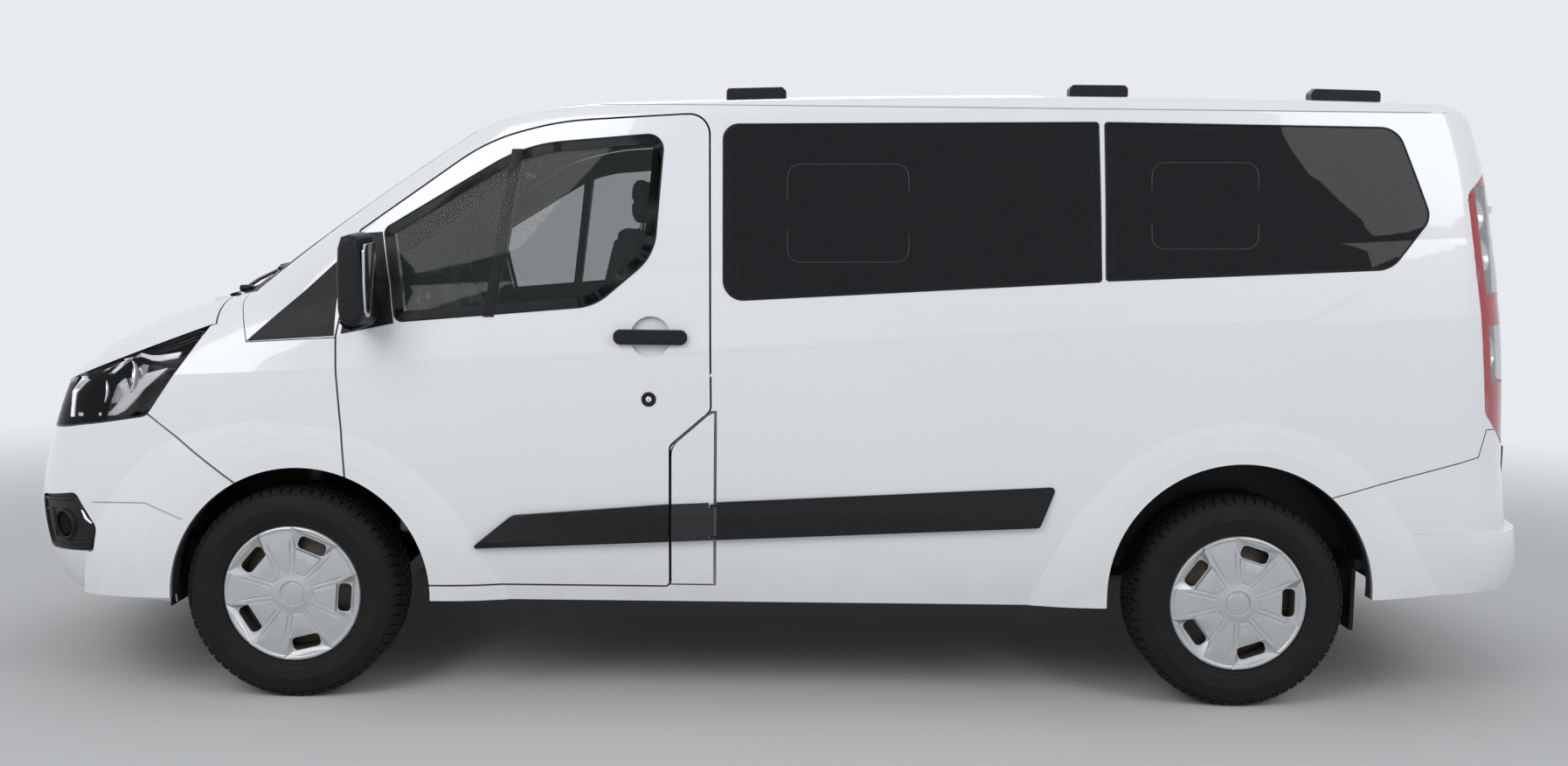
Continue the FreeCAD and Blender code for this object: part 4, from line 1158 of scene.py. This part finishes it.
seatLook = {
    "front": [(-0.43, -0.56, 0.50, 1), (0.43, -0.56, 0.50, 1)],
    "benches": [(0.0, 0.36, 1.24, 3), (0.0, 1.24, 1.24, 3)],
    "cushion": (-0.496, -0.044, 0.834, 0.956),
    "back": (-0.066, 0.046, 0.905, 1.496),
    "lean": 14.0,
    "head": (0.104, 0.176, 1.474, 1.636),
    "inset": 0.008,
    "voxel": 0.011,
    "pressure": 4.0,
    "frames": 20,
    "swell": 0.011,
    "seamDepth": 0.007,
    "seamWidth": 0.010,
}


def puffed(piece, swell):  # the cover is blown up from inside, as foam fills it
    lay(piece)
    piece.data.remesh_voxel_size = seatLook["voxel"]
    bpy.ops.object.voxel_remesh()
    before = [point.co.copy() for point in piece.data.vertices]
    cover = piece.modifiers.new("cover", "CLOTH")
    cover.settings.use_pressure = True
    cover.settings.uniform_pressure_force = seatLook["pressure"]
    cover.settings.effector_weights.gravity = 0
    cover.point_cache.frame_start = 1
    cover.point_cache.frame_end = seatLook["frames"]
    scene = bpy.context.scene
    for number in range(1, seatLook["frames"] + 1):
        scene.frame_set(number)
    shape = piece.evaluated_get(bpy.context.evaluated_depsgraph_get())
    after = [point.co.copy() for point in shape.to_mesh().vertices]
    shape.to_mesh_clear()
    piece.modifiers.remove(cover)
    scene.frame_set(1)
    for point, start, end in zip(piece.data.vertices, before, after):
        move = end - start
        if move.length > swell:
            move *= swell / move.length
        point.co = start + move


def padding(name, low, high, corner, seams, lean=None):  # seams: shares of the half length and half width
    inset = seatLook["inset"]
    piece = block(name, [a + inset for a in low], [b - inset for b in high], corner, 3)
    crossSeams, alongSeams = seams
    puffed(piece, seatLook["swell"])
    apply(piece, "SUBSURF", levels=1, render_levels=1)
    middle = [(a + b) / 2 for a, b in zip(low, high)]
    half = [(b - a) / 2 for a, b in zip(low, high)]
    piece.data.update()
    normals = [point.normal.copy() for point in piece.data.vertices]
    thin = half.index(min(half))
    long = 0 if thin == 2 else 2
    seamLines = [(long, at) for at in crossSeams] + [(1, at) for at in alongSeams]
    for point, normal in zip(piece.data.vertices, normals):
        depth = 0.0
        for way, at in seamLines:
            near = abs(point.co[way] - (middle[way] + at * half[way])) / seatLook["seamWidth"]
            depth = max(depth, 1 - near * near)
        if abs(point.co[thin] - middle[thin]) > half[thin] / 2:
            point.co -= normal * depth * seatLook["seamDepth"]
    if lean is not None:
        pivot, angle = lean
        turn = Matrix.Translation(pivot) @ Matrix.Rotation(
            math.radians(angle), 4, "Y"
        ) @ Matrix.Translation(-pivot)
        piece.data.transform(turn)
    return piece


def makeSeat(name, middleY, backX, width, places):
    look = seatLook
    half = width / 2
    x0, x1, z0, z1 = look["cushion"]
    step = 2 / places
    breaks = [-1 + step * i for i in range(1, places)]
    panels = []
    for i in range(places):
        centre = -1 + step * (i + 0.5)
        panels += [centre - step * 0.27, centre + step * 0.27]
    cushion = padding(
        name + "_cushion", (backX + x0, middleY - half, z0), (backX + x1, middleY + half, z1), 0.035,
        ([-0.55], breaks + panels)
    )
    finished(cushion, "body", "seat_fabric", 60)
    x0, x1, z0, z1 = look["back"]
    pivot = Vector((backX, middleY, 0.900))
    back = padding(
        name + "_back", (backX + x0, middleY - half, z0), (backX + x1, middleY + half, z1), 0.035,
        ([-0.35, 0.25, 0.80], breaks + panels), (pivot, look["lean"])
    )
    finished(back, "body", "seat_fabric", 60)
    x0, x1, z0, z1 = look["head"]
    posts = []
    for i in range(places):
        centre = middleY - half + width * (i + 0.5) / places
        head = padding(
            name + "_head_" + str(i + 1), (backX + x0, centre - 0.128, z0),
            (backX + x1, centre + 0.128, z1), 0.030, ([0.0], [])
        )
        finished(head, "body", "seat_fabric", 60)
        for shift in (-0.055, 0.055):
            post = turned("post", [(0.0, 0.0), (0.0065, 0.0), (0.0065, 0.09), (0.0, 0.09), (0.0, 0.0)], 20)
            posts.append(aimed(post, (0.24, 0, 0.97), (backX + 0.128, centre + shift, 1.425)))
    finished(joined(name + "_head_posts", posts), "body", "chrome", 40)
    foot = [(backX - x, z) for x, z in (
        (0.470, 0.560), (0.470, 0.640), (0.440, 0.800), (0.430, 0.829), (0.062, 0.829), (0.062, 0.700),
        (0.090, 0.560)
    )]
    base = slab(name + "_base", foot, "xz", middleY - half + 0.042, middleY + half - 0.042, 0.008)
    panel = slab("panel", [
        (backX - 0.430, 0.60), (backX - 0.415, 0.78), (backX - 0.11, 0.78), (backX - 0.125, 0.60),
    ], "xz", middleY - half - 0.10, middleY - half + 0.048, 0.004)
    twin = copied(panel, "panel", Matrix.Translation((0, 2 * middleY, 0)) @ acrossCar)
    cutBy(base, panel)
    cutBy(base, twin)
    outward(base)
    finished(base, "body", "cabin_plastic", 30)
    rails = [block(
        "rail", (backX - 0.50, y - 0.018, 0.5605), (backX - 0.02, y + 0.018, 0.578), 0.003
    ) for y in (middleY - (half - 0.10), middleY + (half - 0.10))]
    finished(joined(name + "_rails", rails), "body", "dark_steel", 30)
    return base


def makeSeats():
    places = [("front_seat_" + word, row) for word, row in zip(("left", "right"), seatLook["front"])]
    places += [("bench_" + str(i + 1), row) for i, row in enumerate(seatLook["benches"])]
    for name, row in places:
        base = makeSeat(name, *row)
        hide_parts("seats")
    print("seats made")


steerLook = {
    "centre": Vector((-0.960, -0.430, 1.170)),
    "lean": 28.0,
    "rim": 0.190,
    "grip": 0.0155,
    "spokes": [
        ([(0.060, -0.018), (0.060, 0.026), (0.120, 0.020), (0.182, 0.016), (0.182, -0.012), (0.120, -0.014)],
         0.002),
        ([(0.022, -0.060), (0.046, -0.060), (0.072, -0.168), (0.054, -0.176)], 0.000),
    ],
    "stalk": [(0.050, 0.004), (0.050, 0.020), (0.150, 0.030), (0.165, 0.026), (0.165, 0.012), (0.150, 0.008)],
}


def steerPlace():
    lean = math.radians(steerLook["lean"])
    axle = Vector((math.cos(lean), 0, math.sin(lean)))
    up = Vector((-math.sin(lean), 0, math.cos(lean)))
    turn = Matrix(((0, axle.x, up.x, 0), (-1, axle.y, up.y, 0), (0, axle.z, up.z, 0), (0, 0, 0, 1)))
    return Matrix.Translation(steerLook["centre"]) @ turn


def makeSteeringWheel():
    r, grip = steerLook["rim"], steerLook["grip"]
    place = steerPlace()
    profile = [
        (r + grip * math.cos(a), grip * 0.86 * math.sin(a)) for a in (math.tau * i / 16 for i in range(17))
    ]
    rim = turned("rim", profile, 96)
    for point in rim.data.vertices:  # thumb rests below the upper spokes
        angle = math.degrees(math.atan2(point.co.z, abs(point.co.x)))
        if 5 < angle < 30:
            share = math.sin(math.radians((angle - 5) / 25 * 180))
            point.co *= 1 - 0.012 * share
    outward(rim)
    rim.data.transform(place)
    finished(rim, "steering_wheel", "cabin_plastic", 60)
    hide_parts("steering_wheel")
    cover = slab("cover", [
        (-0.070, -0.040), (-0.078, 0.020), (-0.062, 0.052), (0.062, 0.052), (0.078, 0.020), (0.070, -0.040),
        (0.035, -0.072), (-0.035, -0.072),
    ], "xz", -0.030, 0.012, 0.012, 4)
    cover.data.transform(place)
    finished(cover, "steering_wheel", "cabin_plastic", 50).name = "steering_wheel_cover"
    arms = []
    for sign in (-1, 1):
        for outline, top in steerLook["spokes"]:
            arms.append(slab("spoke", [(sign * x, z) for x, z in outline], "xz", -0.018, top, 0.004))
    spokes = joined("steering_wheel_spokes", arms)
    spokes.data.transform(place)
    finished(spokes, "steering_wheel", "cabin_plastic", 50)
    hub = turned("steering_wheel_boss", [
        (0.0, -0.255), (0.0175, -0.255), (0.0175, -0.060), (0.040, -0.050), (0.056, -0.028),
        (0.056, -0.014), (0.0, -0.014), (0.0, -0.255),
    ], 40)
    hub.data.transform(place)
    finished(hub, "steering_wheel", "cabin_plastic", 50)
    shroud = slab("steering_column_shroud", [
        (-0.060, -0.050), (-0.060, 0.030), (-0.035, 0.048), (0.035, 0.048), (0.060, 0.030), (0.060, -0.050),
        (0.035, -0.066), (-0.035, -0.066),
    ], "xz", -0.235, -0.075, 0.010, 3)
    bore = turned("bore", [(0.0, -0.30), (0.0185, -0.30), (0.0185, 0.0), (0.0, 0.0), (0.0, -0.30)], 32)
    cutBy(shroud, bore)
    shroud.data.transform(place)
    finished(shroud, "body", "cabin_plastic", 40)
    levers = joined(
        "column_stalks",
        [slab(
            "stalk", [(sign * x, z) for x, z in steerLook["stalk"]], "xz", -0.108, -0.096, 0.004
        ) for sign in (-1, 1)]
    )
    levers.data.transform(place)
    finished(levers, "body", "cabin_plastic", 40)
    print("steering wheel made")


dashLook = {
    "dialFacing": (0.98, 0, 0.17),
    "dials": [(-1.190, -0.515, 1.228), (-1.190, -0.345, 1.228)],
    "ticks": 9,
    "firstTick": -120,
    "tickTurn": 30,
    "vents": [(-1.152, -0.77, 1.090), (-1.135, -0.115, 1.135), (-1.135, 0.115, 1.135), (-1.152, 0.77, 1.090)],
    "ventSize": (0.062, 0.040),
    "pedals": [(-0.55, 0.045), (-0.44, 0.055), (-0.31, 0.038)],
}


def makeVent(x, y, z):
    half, rise = dashLook["ventSize"]
    case = block("vent", (x - 0.018, y - half, z - rise), (x + 0.010, y + half, z + rise), 0.006, 3)
    hole = block(
        "hole", (x - 0.010, y - half + 0.009, z - rise + 0.009),
        (x + 0.05, y + half - 0.009, z + rise - 0.009)
    )
    cutBy(case, hole)
    slats = [block(
        "slat", (x - 0.010, y - half + 0.007, z - rise + 0.016 + 0.012 * i),
        (x + 0.006, y + half - 0.007, z - rise + 0.0185 + 0.012 * i), 0.0008, 1
    ) for i in range(5)]
    slats.append(block("slat", (x + 0.003, y - 0.006, z - 0.009), (x + 0.012, y + 0.006, z + 0.009), 0.002))
    return [case] + slats


def makeDashboard():
    top = skinOf("dashboard", "dashboard_top", lambda c, n: n.z > 0.55 and c.z > 1.10)
    apply(top, "SOLIDIFY", thickness=0.004, offset=1)
    finished(top, "body", "dash_top", 40)
    hood = slab("binnacle", [
        (-1.335, 1.235), (-1.300, 1.268), (-1.215, 1.312), (-1.150, 1.318), (-1.128, 1.306),
        (-1.158, 1.170), (-1.180, 1.120), (-1.260, 1.120),
    ], "xz", -0.625, -0.235, 0.022, 4)
    hole = slab("hole", [
        (-1.185, 1.295), (-1.080, 1.310), (-1.080, 1.150), (-1.210, 1.165),
    ], "xz", -0.600, -0.260, 0.012, 3)
    cutBy(hood, hole)
    outward(hood)
    finished(hood, "body", "cabin_plastic", 40)
    dials = []
    for place in dashLook["dials"]:
        dial = turned("dial", [
            (0.0, 0.0), (0.056, 0.0), (0.060, 0.010), (0.064, 0.010), (0.064, -0.004), (0.0, -0.004),
            (0.0, 0.0),
        ], 48)
        dials.append(aimed(dial, dashLook["dialFacing"], place))
        for i in range(dashLook["ticks"]):
            angle = math.radians(dashLook["firstTick"] + dashLook["tickTurn"] * i)
            tick = block("tick", (-0.0012, 0.0, 0.046), (0.0012, 0.0012, 0.055))
            tick.data.transform(Matrix.Rotation(angle, 4, "Y"))
            dials.append(aimed(tick, dashLook["dialFacing"], place))
    finished(joined("dial_rings", dials), "body", "chrome", 40)
    stack = slab("centre_stack", [
        (-1.240, 1.222), (-1.165, 1.190), (-1.128, 1.120), (-1.140, 0.900), (-1.165, 0.840),
        (-1.240, 0.840),
    ], "xz", -0.185, 0.185, 0.014, 3)
    finished(stack, "body", "cabin_plastic", 40)
    screen = block("centre_screen", (-1.142, -0.095, 0.985), (-1.1235, 0.095, 1.065), 0.004, 2)
    finished(screen, "body", "dark_glass", 40)
    keys = [block(
        "key", (-1.146, -0.135 + 0.045 * i, 0.925), (-1.126, -0.100 + 0.045 * i, 0.945), 0.003
    ) for i in range(7)]
    for y in (-0.075, 0.0, 0.075):
        knob = turned("knob", [
            (0.0, 0.020), (0.012, 0.020), (0.016, 0.016), (0.019, 0.0), (0.0, 0.0), (0.0, 0.020),
        ], 32)
        keys.append(aimed(knob, (1, 0, 0.05), (-1.146, y, 0.885)))
    finished(joined("centre_controls", keys), "body", "cabin_plastic", 40)
    vents = []
    for place in dashLook["vents"]:
        vents += makeVent(*place)
    finished(joined("air_vents", vents), "body", "cabin_plastic", 35)
    box = slab("glove_box_lid", [
        (-1.166, 0.885), (-1.150, 0.895), (-1.136, 1.040), (-1.150, 1.050),
    ], "xz", 0.24, 0.70, 0.006)
    finished(box, "body", "cabin_plastic", 40)
    boot = turned("gear_boot", [
        (0.0, 0.070), (0.012, 0.068), (0.020, 0.045), (0.034, 0.030), (0.036, 0.022), (0.048, 0.012),
        (0.055, 0.0), (0.0, 0.0), (0.0, 0.070),
    ], 32)
    finished(aimed(boot, (0.75, 0, 0.66), (-1.150, 0.0, 0.845)), "body", "seat_fabric", 50)
    lever = turned("gear_lever", [
        (0.0, 0.0), (0.0065, 0.0), (0.0065, 0.125), (0.017, 0.132), (0.023, 0.150), (0.021, 0.172),
        (0.012, 0.182), (0.0, 0.184), (0.0, 0.0),
    ], 32)
    finished(aimed(lever, (0.70, 0, 0.71), (-1.115, 0.0, 0.880)), "body", "cabin_plastic", 50)
    pedals = []
    for y, wide in dashLook["pedals"]:
        pad = block("pedal", (-1.300, y - wide / 2, 0.640), (-1.288, y + wide / 2, 0.720), 0.003)
        stem = block("stem", (-1.318, y - 0.006, 0.690), (-1.298, y + 0.006, 0.900), 0.002)
        pedals += [pad, stem]
    finished(joined("pedals", pedals), "body", "dark_steel", 40)
    print("dashboard made")


def makeCabinTrim():
    glass = block("inner_mirror_case", (-0.905, -0.120, 1.640), (-0.875, 0.120, 1.708), 0.012, 4)
    finished(glass, "body", "cabin_plastic", 40)
    pane = block("inner_mirror_pane", (-0.8765, -0.112, 1.648), (-0.8735, 0.112, 1.700), 0.001, 1)
    finished(pane, "body", "mirror", 40)
    place = struck("windshield", (-0.70, 0, 1.72), (-1, 0, 0))[0]
    back = Vector((-0.900, 0, 1.700)) - place
    long = back.length
    stay = turned("inner_mirror_stay", [
        (0.0, 0.0), (0.024, 0.0), (0.022, 0.008), (0.008, 0.016), (0.0065, long - 0.002), (0.0, long),
        (0.0, 0.0),
    ], 28)
    finished(aimed(stay, back, place), "body", "cabin_plastic", 50)
    for side, word in sides:
        visor = slab("sun_visor_" + word, [
            (-0.965, 1.728), (-0.950, 1.744), (-0.790, 1.786), (-0.775, 1.780), (-0.780, 1.768),
            (-0.950, 1.722),
        ], "xz", side * 0.15, side * 0.60, 0.004)
        finished(visor, "body", "lining", 50)
        bodyName = "front_" + word + "_door"
        rest = slab(bodyName + "_armrest", [
            (-1.080, 0.930), (-1.080, 0.990), (-0.960, 1.020), (-0.560, 1.020), (-0.520, 0.995),
            (-0.540, 0.930),
        ], "xz", side * 0.852, side * 0.918, 0.012, 3)
        finished(rest, bodyName, "cabin_plastic", 40)
        pocket = slab(
            bodyName + "_pocket", [(-1.130, 0.520), (-1.130, 0.700), (-0.520, 0.730), (-0.500, 0.520)],
            "xz", side * 0.868, side * 0.928, 0.014, 3
        )
        finished(pocket, bodyName, "cabin_plastic", 40)
        pull = block(
            bodyName + "_pull", (-0.70, min(side * 0.885, side * 0.921), 1.065),
            (-0.56, max(side * 0.885, side * 0.921), 1.10), 0.010, 3
        )
        finished(pull, bodyName, "chrome", 40)
    print("cabin trim made")


looks["dash_top"] = plainLook(
    "dashTop", "cabin_plastic", (0.20, 0.20, 0.195), (0.27, 0.27, 0.262), 0.62, 18.0, 900.0
)
looks["lining"] = plainLook(
    "lining", "cabin_plastic", (0.30, 0.30, 0.29), (0.36, 0.36, 0.35), 0.8, 30.0, 700.0
)
makeSeats()
makeSteeringWheel()
makeDashboard()
makeCabinTrim()


def rounded(points, radius, steps=5):  # an outline with its corners rounded
    arcs = []
    for i, here in enumerate(points):
        here = Vector(here)
        back = Vector(points[i - 1]) - here
        ahead = Vector(points[(i + 1) % len(points)]) - here
        start = here + back.normalized() * radius
        end = here + ahead.normalized() * radius
        for k in range(steps + 1):
            t = k / steps
            arcs.append(tuple(start * (1 - t) ** 2 + here * 2 * t * (1 - t) + end * t * t))
    return arcs


screenLook = {
    "border": 0.048,
    "rise": 0.0010,
    "wipers": [(-0.560, -0.530, 0.140, 0.018), (0.150, 0.180, 0.700, 0.010)],
    "foot": 1.300,
    "blade": 0.0050,
}


cowlLook = {
    "ribs": 34,
    "firstRib": -0.66,
    "ribStep": 0.04,
    "ribStart": -1.790,
    "spots": 4,
    "spotStep": 0.030,
    "heights": (1.15, 1.30),
    "bead": 0.0028,
}


def onScreen(y, z, lift):  # a point a little above the windscreen
    place = struck("windshield", (-2.6, y, z), (1, 0, 0))[0]
    if place is None:
        place = treeOf("windshield").find_nearest(Vector((-1.70, y, z)))[0]
    return place + Vector((-0.55, 0, 0.83)) * lift


def makeWindscreenTrim():
    look = screenLook
    front = lambda c, n: n.x < -0.25 and n.z > 0.15
    edge = ringOf("windshield", "windscreen_border", front, look["border"], look["rise"])
    finished(edge, "body", "black_plastic")
    for number, (pivot, start, end, rise) in enumerate(look["wipers"]):
        name = "wiper_" + ("left", "right")[number]
        low = look["foot"]
        rubber = []
        for k in range(9):
            rubber.append(onScreen(start + (end - start) * k / 8, low + rise + 0.012 * k / 8, 0.006))
        blade = tube(name + "_blade", rubber, look["blade"])
        spine = tube(name + "_spine", [p + Vector((-0.003, 0, 0.005)) for p in rubber[1:-1]], 0.0035)
        finished(joined(name + "_blade", [blade, spine]), "body", "black_plastic", 60)
        foot = onScreen(pivot, 1.262, 0.0) + Vector((-0.034, 0, -0.004))
        joint = rubber[4] + Vector((-0.004, 0, 0.006))
        arm = tube(name + "_arm", [foot, foot + (joint - foot) * 0.25 + Vector((0, 0, 0.006)), joint], 0.0060)
        cap = block(
            name + "_cap", tuple(foot + Vector((-0.020, -0.018, -0.012))),
            tuple(foot + Vector((0.020, 0.018, 0.009))), 0.007, 3
        )
        finished(joined(name + "_arm", [arm, cap]), "body", "black_plastic", 60)
    look = cowlLook
    low, high = look["heights"]
    ribs = []
    for i in range(look["ribs"]):
        y = look["firstRib"] + i * look["ribStep"]
        spots = []
        for k in range(look["spots"]):
            x = look["ribStart"] + k * look["spotStep"]
            place = struck("body_trim", (x, y, 1.6), (0, 0, -1))[0]
            if place is not None and low < place.z < high:
                spots.append(place + Vector((0, 0, 0.001)))
        if len(spots) > 2:
            ribs.append(tube("rib", spots, look["bead"]))
    if ribs:
        finished(joined("cowl_ribs", ribs), "body", "black_plastic", 60)
    print("windscreen trim made", len(ribs))


seamLook = {
    "roofHeight": 1.8465,
    "roofRun": (-0.640, 2.080),
    "bead": 0.0016,
    "step": [(106, 574), (165, 575), (208, 594)],
    "panes": [
        [(901, 188), (1040, 188), (1040, 300), (901, 300)],
        [(1318, 186), (1440, 186), (1440, 285), (1318, 285)],
    ],
    "paneCorner": 16,
}


def makeSeams():
    look = seamLook
    start, end = look["roofRun"]
    spots = []
    for i in range(41):
        x = start + (end - start) * i / 40
        for node in ("roof_panel", "body_side_left"):
            spot = onSkin(node, x, look["roofHeight"], -1)
            if spot is not None and abs(spot.y) > 0.7:
                spots.append(spot)
                break
    both(tube("roof_seam", spots, look["bead"]), "roof_seam", "body", "seal_grey_and_painted_shade", 60)
    # a thin grey line along the bumper's lower crease: painted shade where the crease turns away from the
    # light
    spots = [seen(p, "front_bumper") for p in between(look["step"], 6)]
    both(tube("bumper_step_painted_shade", spots, 0.0018), "bumper_step_painted_shade", "body", "seal_grey_and_painted_shade", 60)
    for number, outline in enumerate(look["panes"]):
        ring = [seen(p, "side_glass") for p in rounded(outline, look["paneCorner"])]
        both(
            tube("pane_edge", ring, 0.0011, True), "opening_pane_edge_" + str(number + 1), "body",
            "seam_dark", 60
        )
    print("seams made")


rearLook = {
    "handle": (-0.030, 0.090, 1.035),
    "lampStrip": (-0.560, -0.030, 0.938),
    "lampHood": [(-0.020, -0.012), (0.012, -0.012), (0.022, -0.004), (0.018, 0.010), (-0.020, 0.014)],
    "highLamp": (1.8640, 0.150),
    "stepPad": 0.470,
    "ridges": 5,
    "ridgeStep": 0.0165,
    "hingeCap": (0.729, 0.016),
}


def behind(node, y, z):  # how far back the rear face of a part lies
    return struck(node, (3.0, y, z), (-1, 0, 0))[0].x


def makeRearFittings():
    look = rearLook
    y0, y1, z = look["handle"]
    face = behind("rear_left_door", (y0 + y1) / 2, z)
    cup = block(
        "rear_handle_cup", (face - 0.006, y0 - 0.012, z - 0.034), (face + 0.004, y1 + 0.012, z + 0.034),
        0.003, 3
    )
    finished(cup, "rear_left_door", "black_plastic", 40)
    grip = block("rear_handle_grip", (face + 0.010, y0, z - 0.012), (face + 0.026, y1, z + 0.012), 0.007, 4)
    for y in (y0 + 0.010, y1 - 0.010):
        foot = block("foot", (face, y - 0.009, z - 0.009), (face + 0.016, y + 0.009, z + 0.009), 0.002, 2)
        grip = joined("rear_handle_grip", [grip, foot])
    finished(grip, "rear_left_door", "black_plastic", 40)
    y0, y1, z = look["lampStrip"]
    face = behind("rear_left_door", (y0 + y1) / 2, z)
    hood = slab(
        "plate_lamp_housing", [(face + x, z + rise) for x, rise in look["lampHood"]], "xz", y0, y1, 0.003, 3
    )
    finished(hood, "rear_left_door", "black_plastic", 40)
    lamps = [block(
        "lamp", (face - 0.006, y, z - 0.0145), (face + 0.008, y + 0.05, z - 0.011), 0.001, 2
    ) for y in (y0 + 0.09, y1 - 0.14)]
    finished(joined("plate_lamp_lenses", lamps), "rear_left_door", "lamp_clear", 40)
    z, half = look["highLamp"]
    face = behind("roof_panel", 0, z)
    lamp = block(
        "high_brake_lamp", (face - 0.010, -half, z - 0.012), (face + 0.004, half, z + 0.012), 0.004, 3
    )
    finished(lamp, "body", "lamp_red", 40)
    half = look["stepPad"]
    top = struck("rear_bumper", (2.43, 0.0, 0.70), (0, 0, -1))[0].z
    pad = [block("step_pad", (2.372, -half, top - 0.002), (2.462, half, top + 0.003), 0.002)]
    for i in range(look["ridges"]):
        x = 2.384 + i * look["ridgeStep"]
        pad.append(block(
            "ridge", (x, -half + 0.012, top + 0.002), (x + 0.006, half - 0.012, top + 0.006), 0.0012
        ))
    finished(joined("rear_step_pad", pad), "body", "black_plastic", 40)
    for side, word in sides:
        y, half = side * look["hingeCap"][0], look["hingeCap"][1]
        cap = block("rear_hinge_cap_" + word, (2.330, y - half, 0.693), (2.373, y + half, 0.807), 0.009, 4)
        finished(cap, "body", "black_plastic", 40)
    print("rear fittings made")


sideLook = {
    "handle": (-0.020, 0.150, 1.140),
    "shield": (-1.832, 0.285, 0.470),
    "shieldAcross": (0.560, 0.950),
}


def makeSideFittings():
    look = sideLook
    x0, x1, z = look["handle"]
    face = onSkin("sliding_door", (x0 + x1) / 2, z, 1).y
    grip = block(
        "sliding_door_handle", (x0, face + 0.014, z - 0.021), (x1, face + 0.030, z + 0.021), 0.007, 4
    )
    for x in (x0 + 0.014, x1 - 0.014):
        grip = joined("sliding_door_handle", [grip, block(
            "foot", (x - 0.010, face - 0.002, z - 0.014), (x + 0.010, face + 0.020, z + 0.014), 0.002
        )])
    finished(grip, "body", "black_plastic", 40)
    x, low, high = look["shield"]
    inner, outer = look["shieldAcross"]
    shield = slab("front_splash_shield", [
        (x, low), (x - 0.006, low), (x - 0.002, (low + high) / 2), (x + 0.010, high), (x + 0.016, high),
        (x + 0.004, (low + high) / 2),
    ], "xz", -outer, -inner, 0.0015)
    both(shield, "front_splash_shield", "body", "black_plastic", 50)
    print("side fittings made")


# grey for the roof seal bead, and for the bumper step line, which is painted shade along a crease
looks["seal_grey_and_painted_shade"] = plainLook(
    "sealGreyAndPaintedShade", "white_paint", (0.34, 0.35, 0.36), (0.42, 0.43, 0.44), 0.5, 40.0, 400.0
)
looks["seam_dark"] = plainLook(
    "seamDark", "black_plastic", (0.035, 0.037, 0.040), (0.06, 0.062, 0.065), 0.4, 40.0, 400.0
)
makeWindscreenTrim()
makeSeams()
makeRearFittings()
makeSideFittings()


def makeCamera():
    data = bpy.data.cameras.new("photoView")
    data.lens = view["lens"]
    data.sensor_width = view["sensor"]
    camera = bpy.data.objects.new("photoView", data)
    bpy.context.scene.collection.objects.link(camera)
    camera.matrix_world = Matrix.Translation(view["place"]) @ viewTurn
    bpy.context.scene.camera = camera


stageLook = {
    "floor": (0.62, 0.62, 0.61),
    "sky": (0.80, 0.83, 0.87),
    "fade": (3.6, 8.5),
    "lamps": [((-3.5, -5.5, 5.2), (0, 0, 0.8), 4.0, 380), ((4.5, -4.5, 4.4), (0.5, 0, 0.8), 3.0, 190),
              ((0, 5.5, 4.8), (0, 0, 1.0), 4.0, 260)],
    "lampPower": 0.44,
    "light": (0.78, 0.82, 0.88),
    "lightStrength": 0.62,
}


def directRays(tree):  # rays that show the pale background, not its light
    kinds = tree.nodes.new("ShaderNodeLightPath").outputs
    direct = Value(tree, kinds["Is Camera Ray"])
    for kind in ("Is Glossy Ray", "Is Transmission Ray"):
        direct = direct.most(Value(tree, kinds[kind]))
    return direct


def makeStage():
    bpy.ops.mesh.primitive_plane_add(size=60, location=(0, 0, 0))
    floor = bpy.context.object
    floor.name = "studioFloor"
    look = Finish("studioFloor", "white_paint", stageLook["floor"], 0.9, Specular_IOR_Level=0.1)
    glow = look.node("ShaderNodeEmission", None, {"Color": (*stageLook["sky"], 1)})
    reach = (look.x * look.x + look.y * look.y * 1.4).math("SQRT").ramp(*stageLook["fade"])
    blend = look.node("ShaderNodeMixShader", None, {0: reach * directRays(look.tree)})
    look.tree.links.new(look.shader.outputs[0], blend.inputs[1])
    look.tree.links.new(glow.outputs[0], blend.inputs[2])
    look.tree.links.new(blend.outputs[0], look.tree.nodes["Material Output"].inputs["Surface"])
    floor.data.materials.append(look.material)
    floor.select_set(False)
    for place, aim, wide, power in stageLook["lamps"]:
        lamp = bpy.data.lights.new("softbox", "AREA")
        lamp.size = wide
        lamp.energy = power * stageLook["lampPower"]
        rig = bpy.data.objects.new("softbox", lamp)
        bpy.context.scene.collection.objects.link(rig)
        rig.location = place
        rig.rotation_euler = (Vector(aim) - Vector(place)).to_track_quat("-Z", "Y").to_euler()
    world = bpy.data.worlds.new("studio")
    world.use_nodes = True
    bpy.context.scene.world = world
    tree = world.node_tree
    plain = tree.nodes["Background"]
    plain.inputs["Color"].default_value = (*stageLook["light"], 1)
    plain.inputs["Strength"].default_value = stageLook["lightStrength"]
    backdrop = tree.nodes.new("ShaderNodeBackground")
    backdrop.inputs["Color"].default_value = (*stageLook["sky"], 1)
    blend = tree.nodes.new("ShaderNodeMixShader")
    tree.links.new(directRays(tree).socket, blend.inputs["Fac"])
    tree.links.new(plain.outputs[0], blend.inputs[1])
    tree.links.new(backdrop.outputs[0], blend.inputs[2])
    tree.links.new(blend.outputs[0], tree.nodes["World Output"].inputs["Surface"])


makeCamera()
makeStage()
bpy.context.scene.view_settings.view_transform = "Standard"
print("camera and stage made")
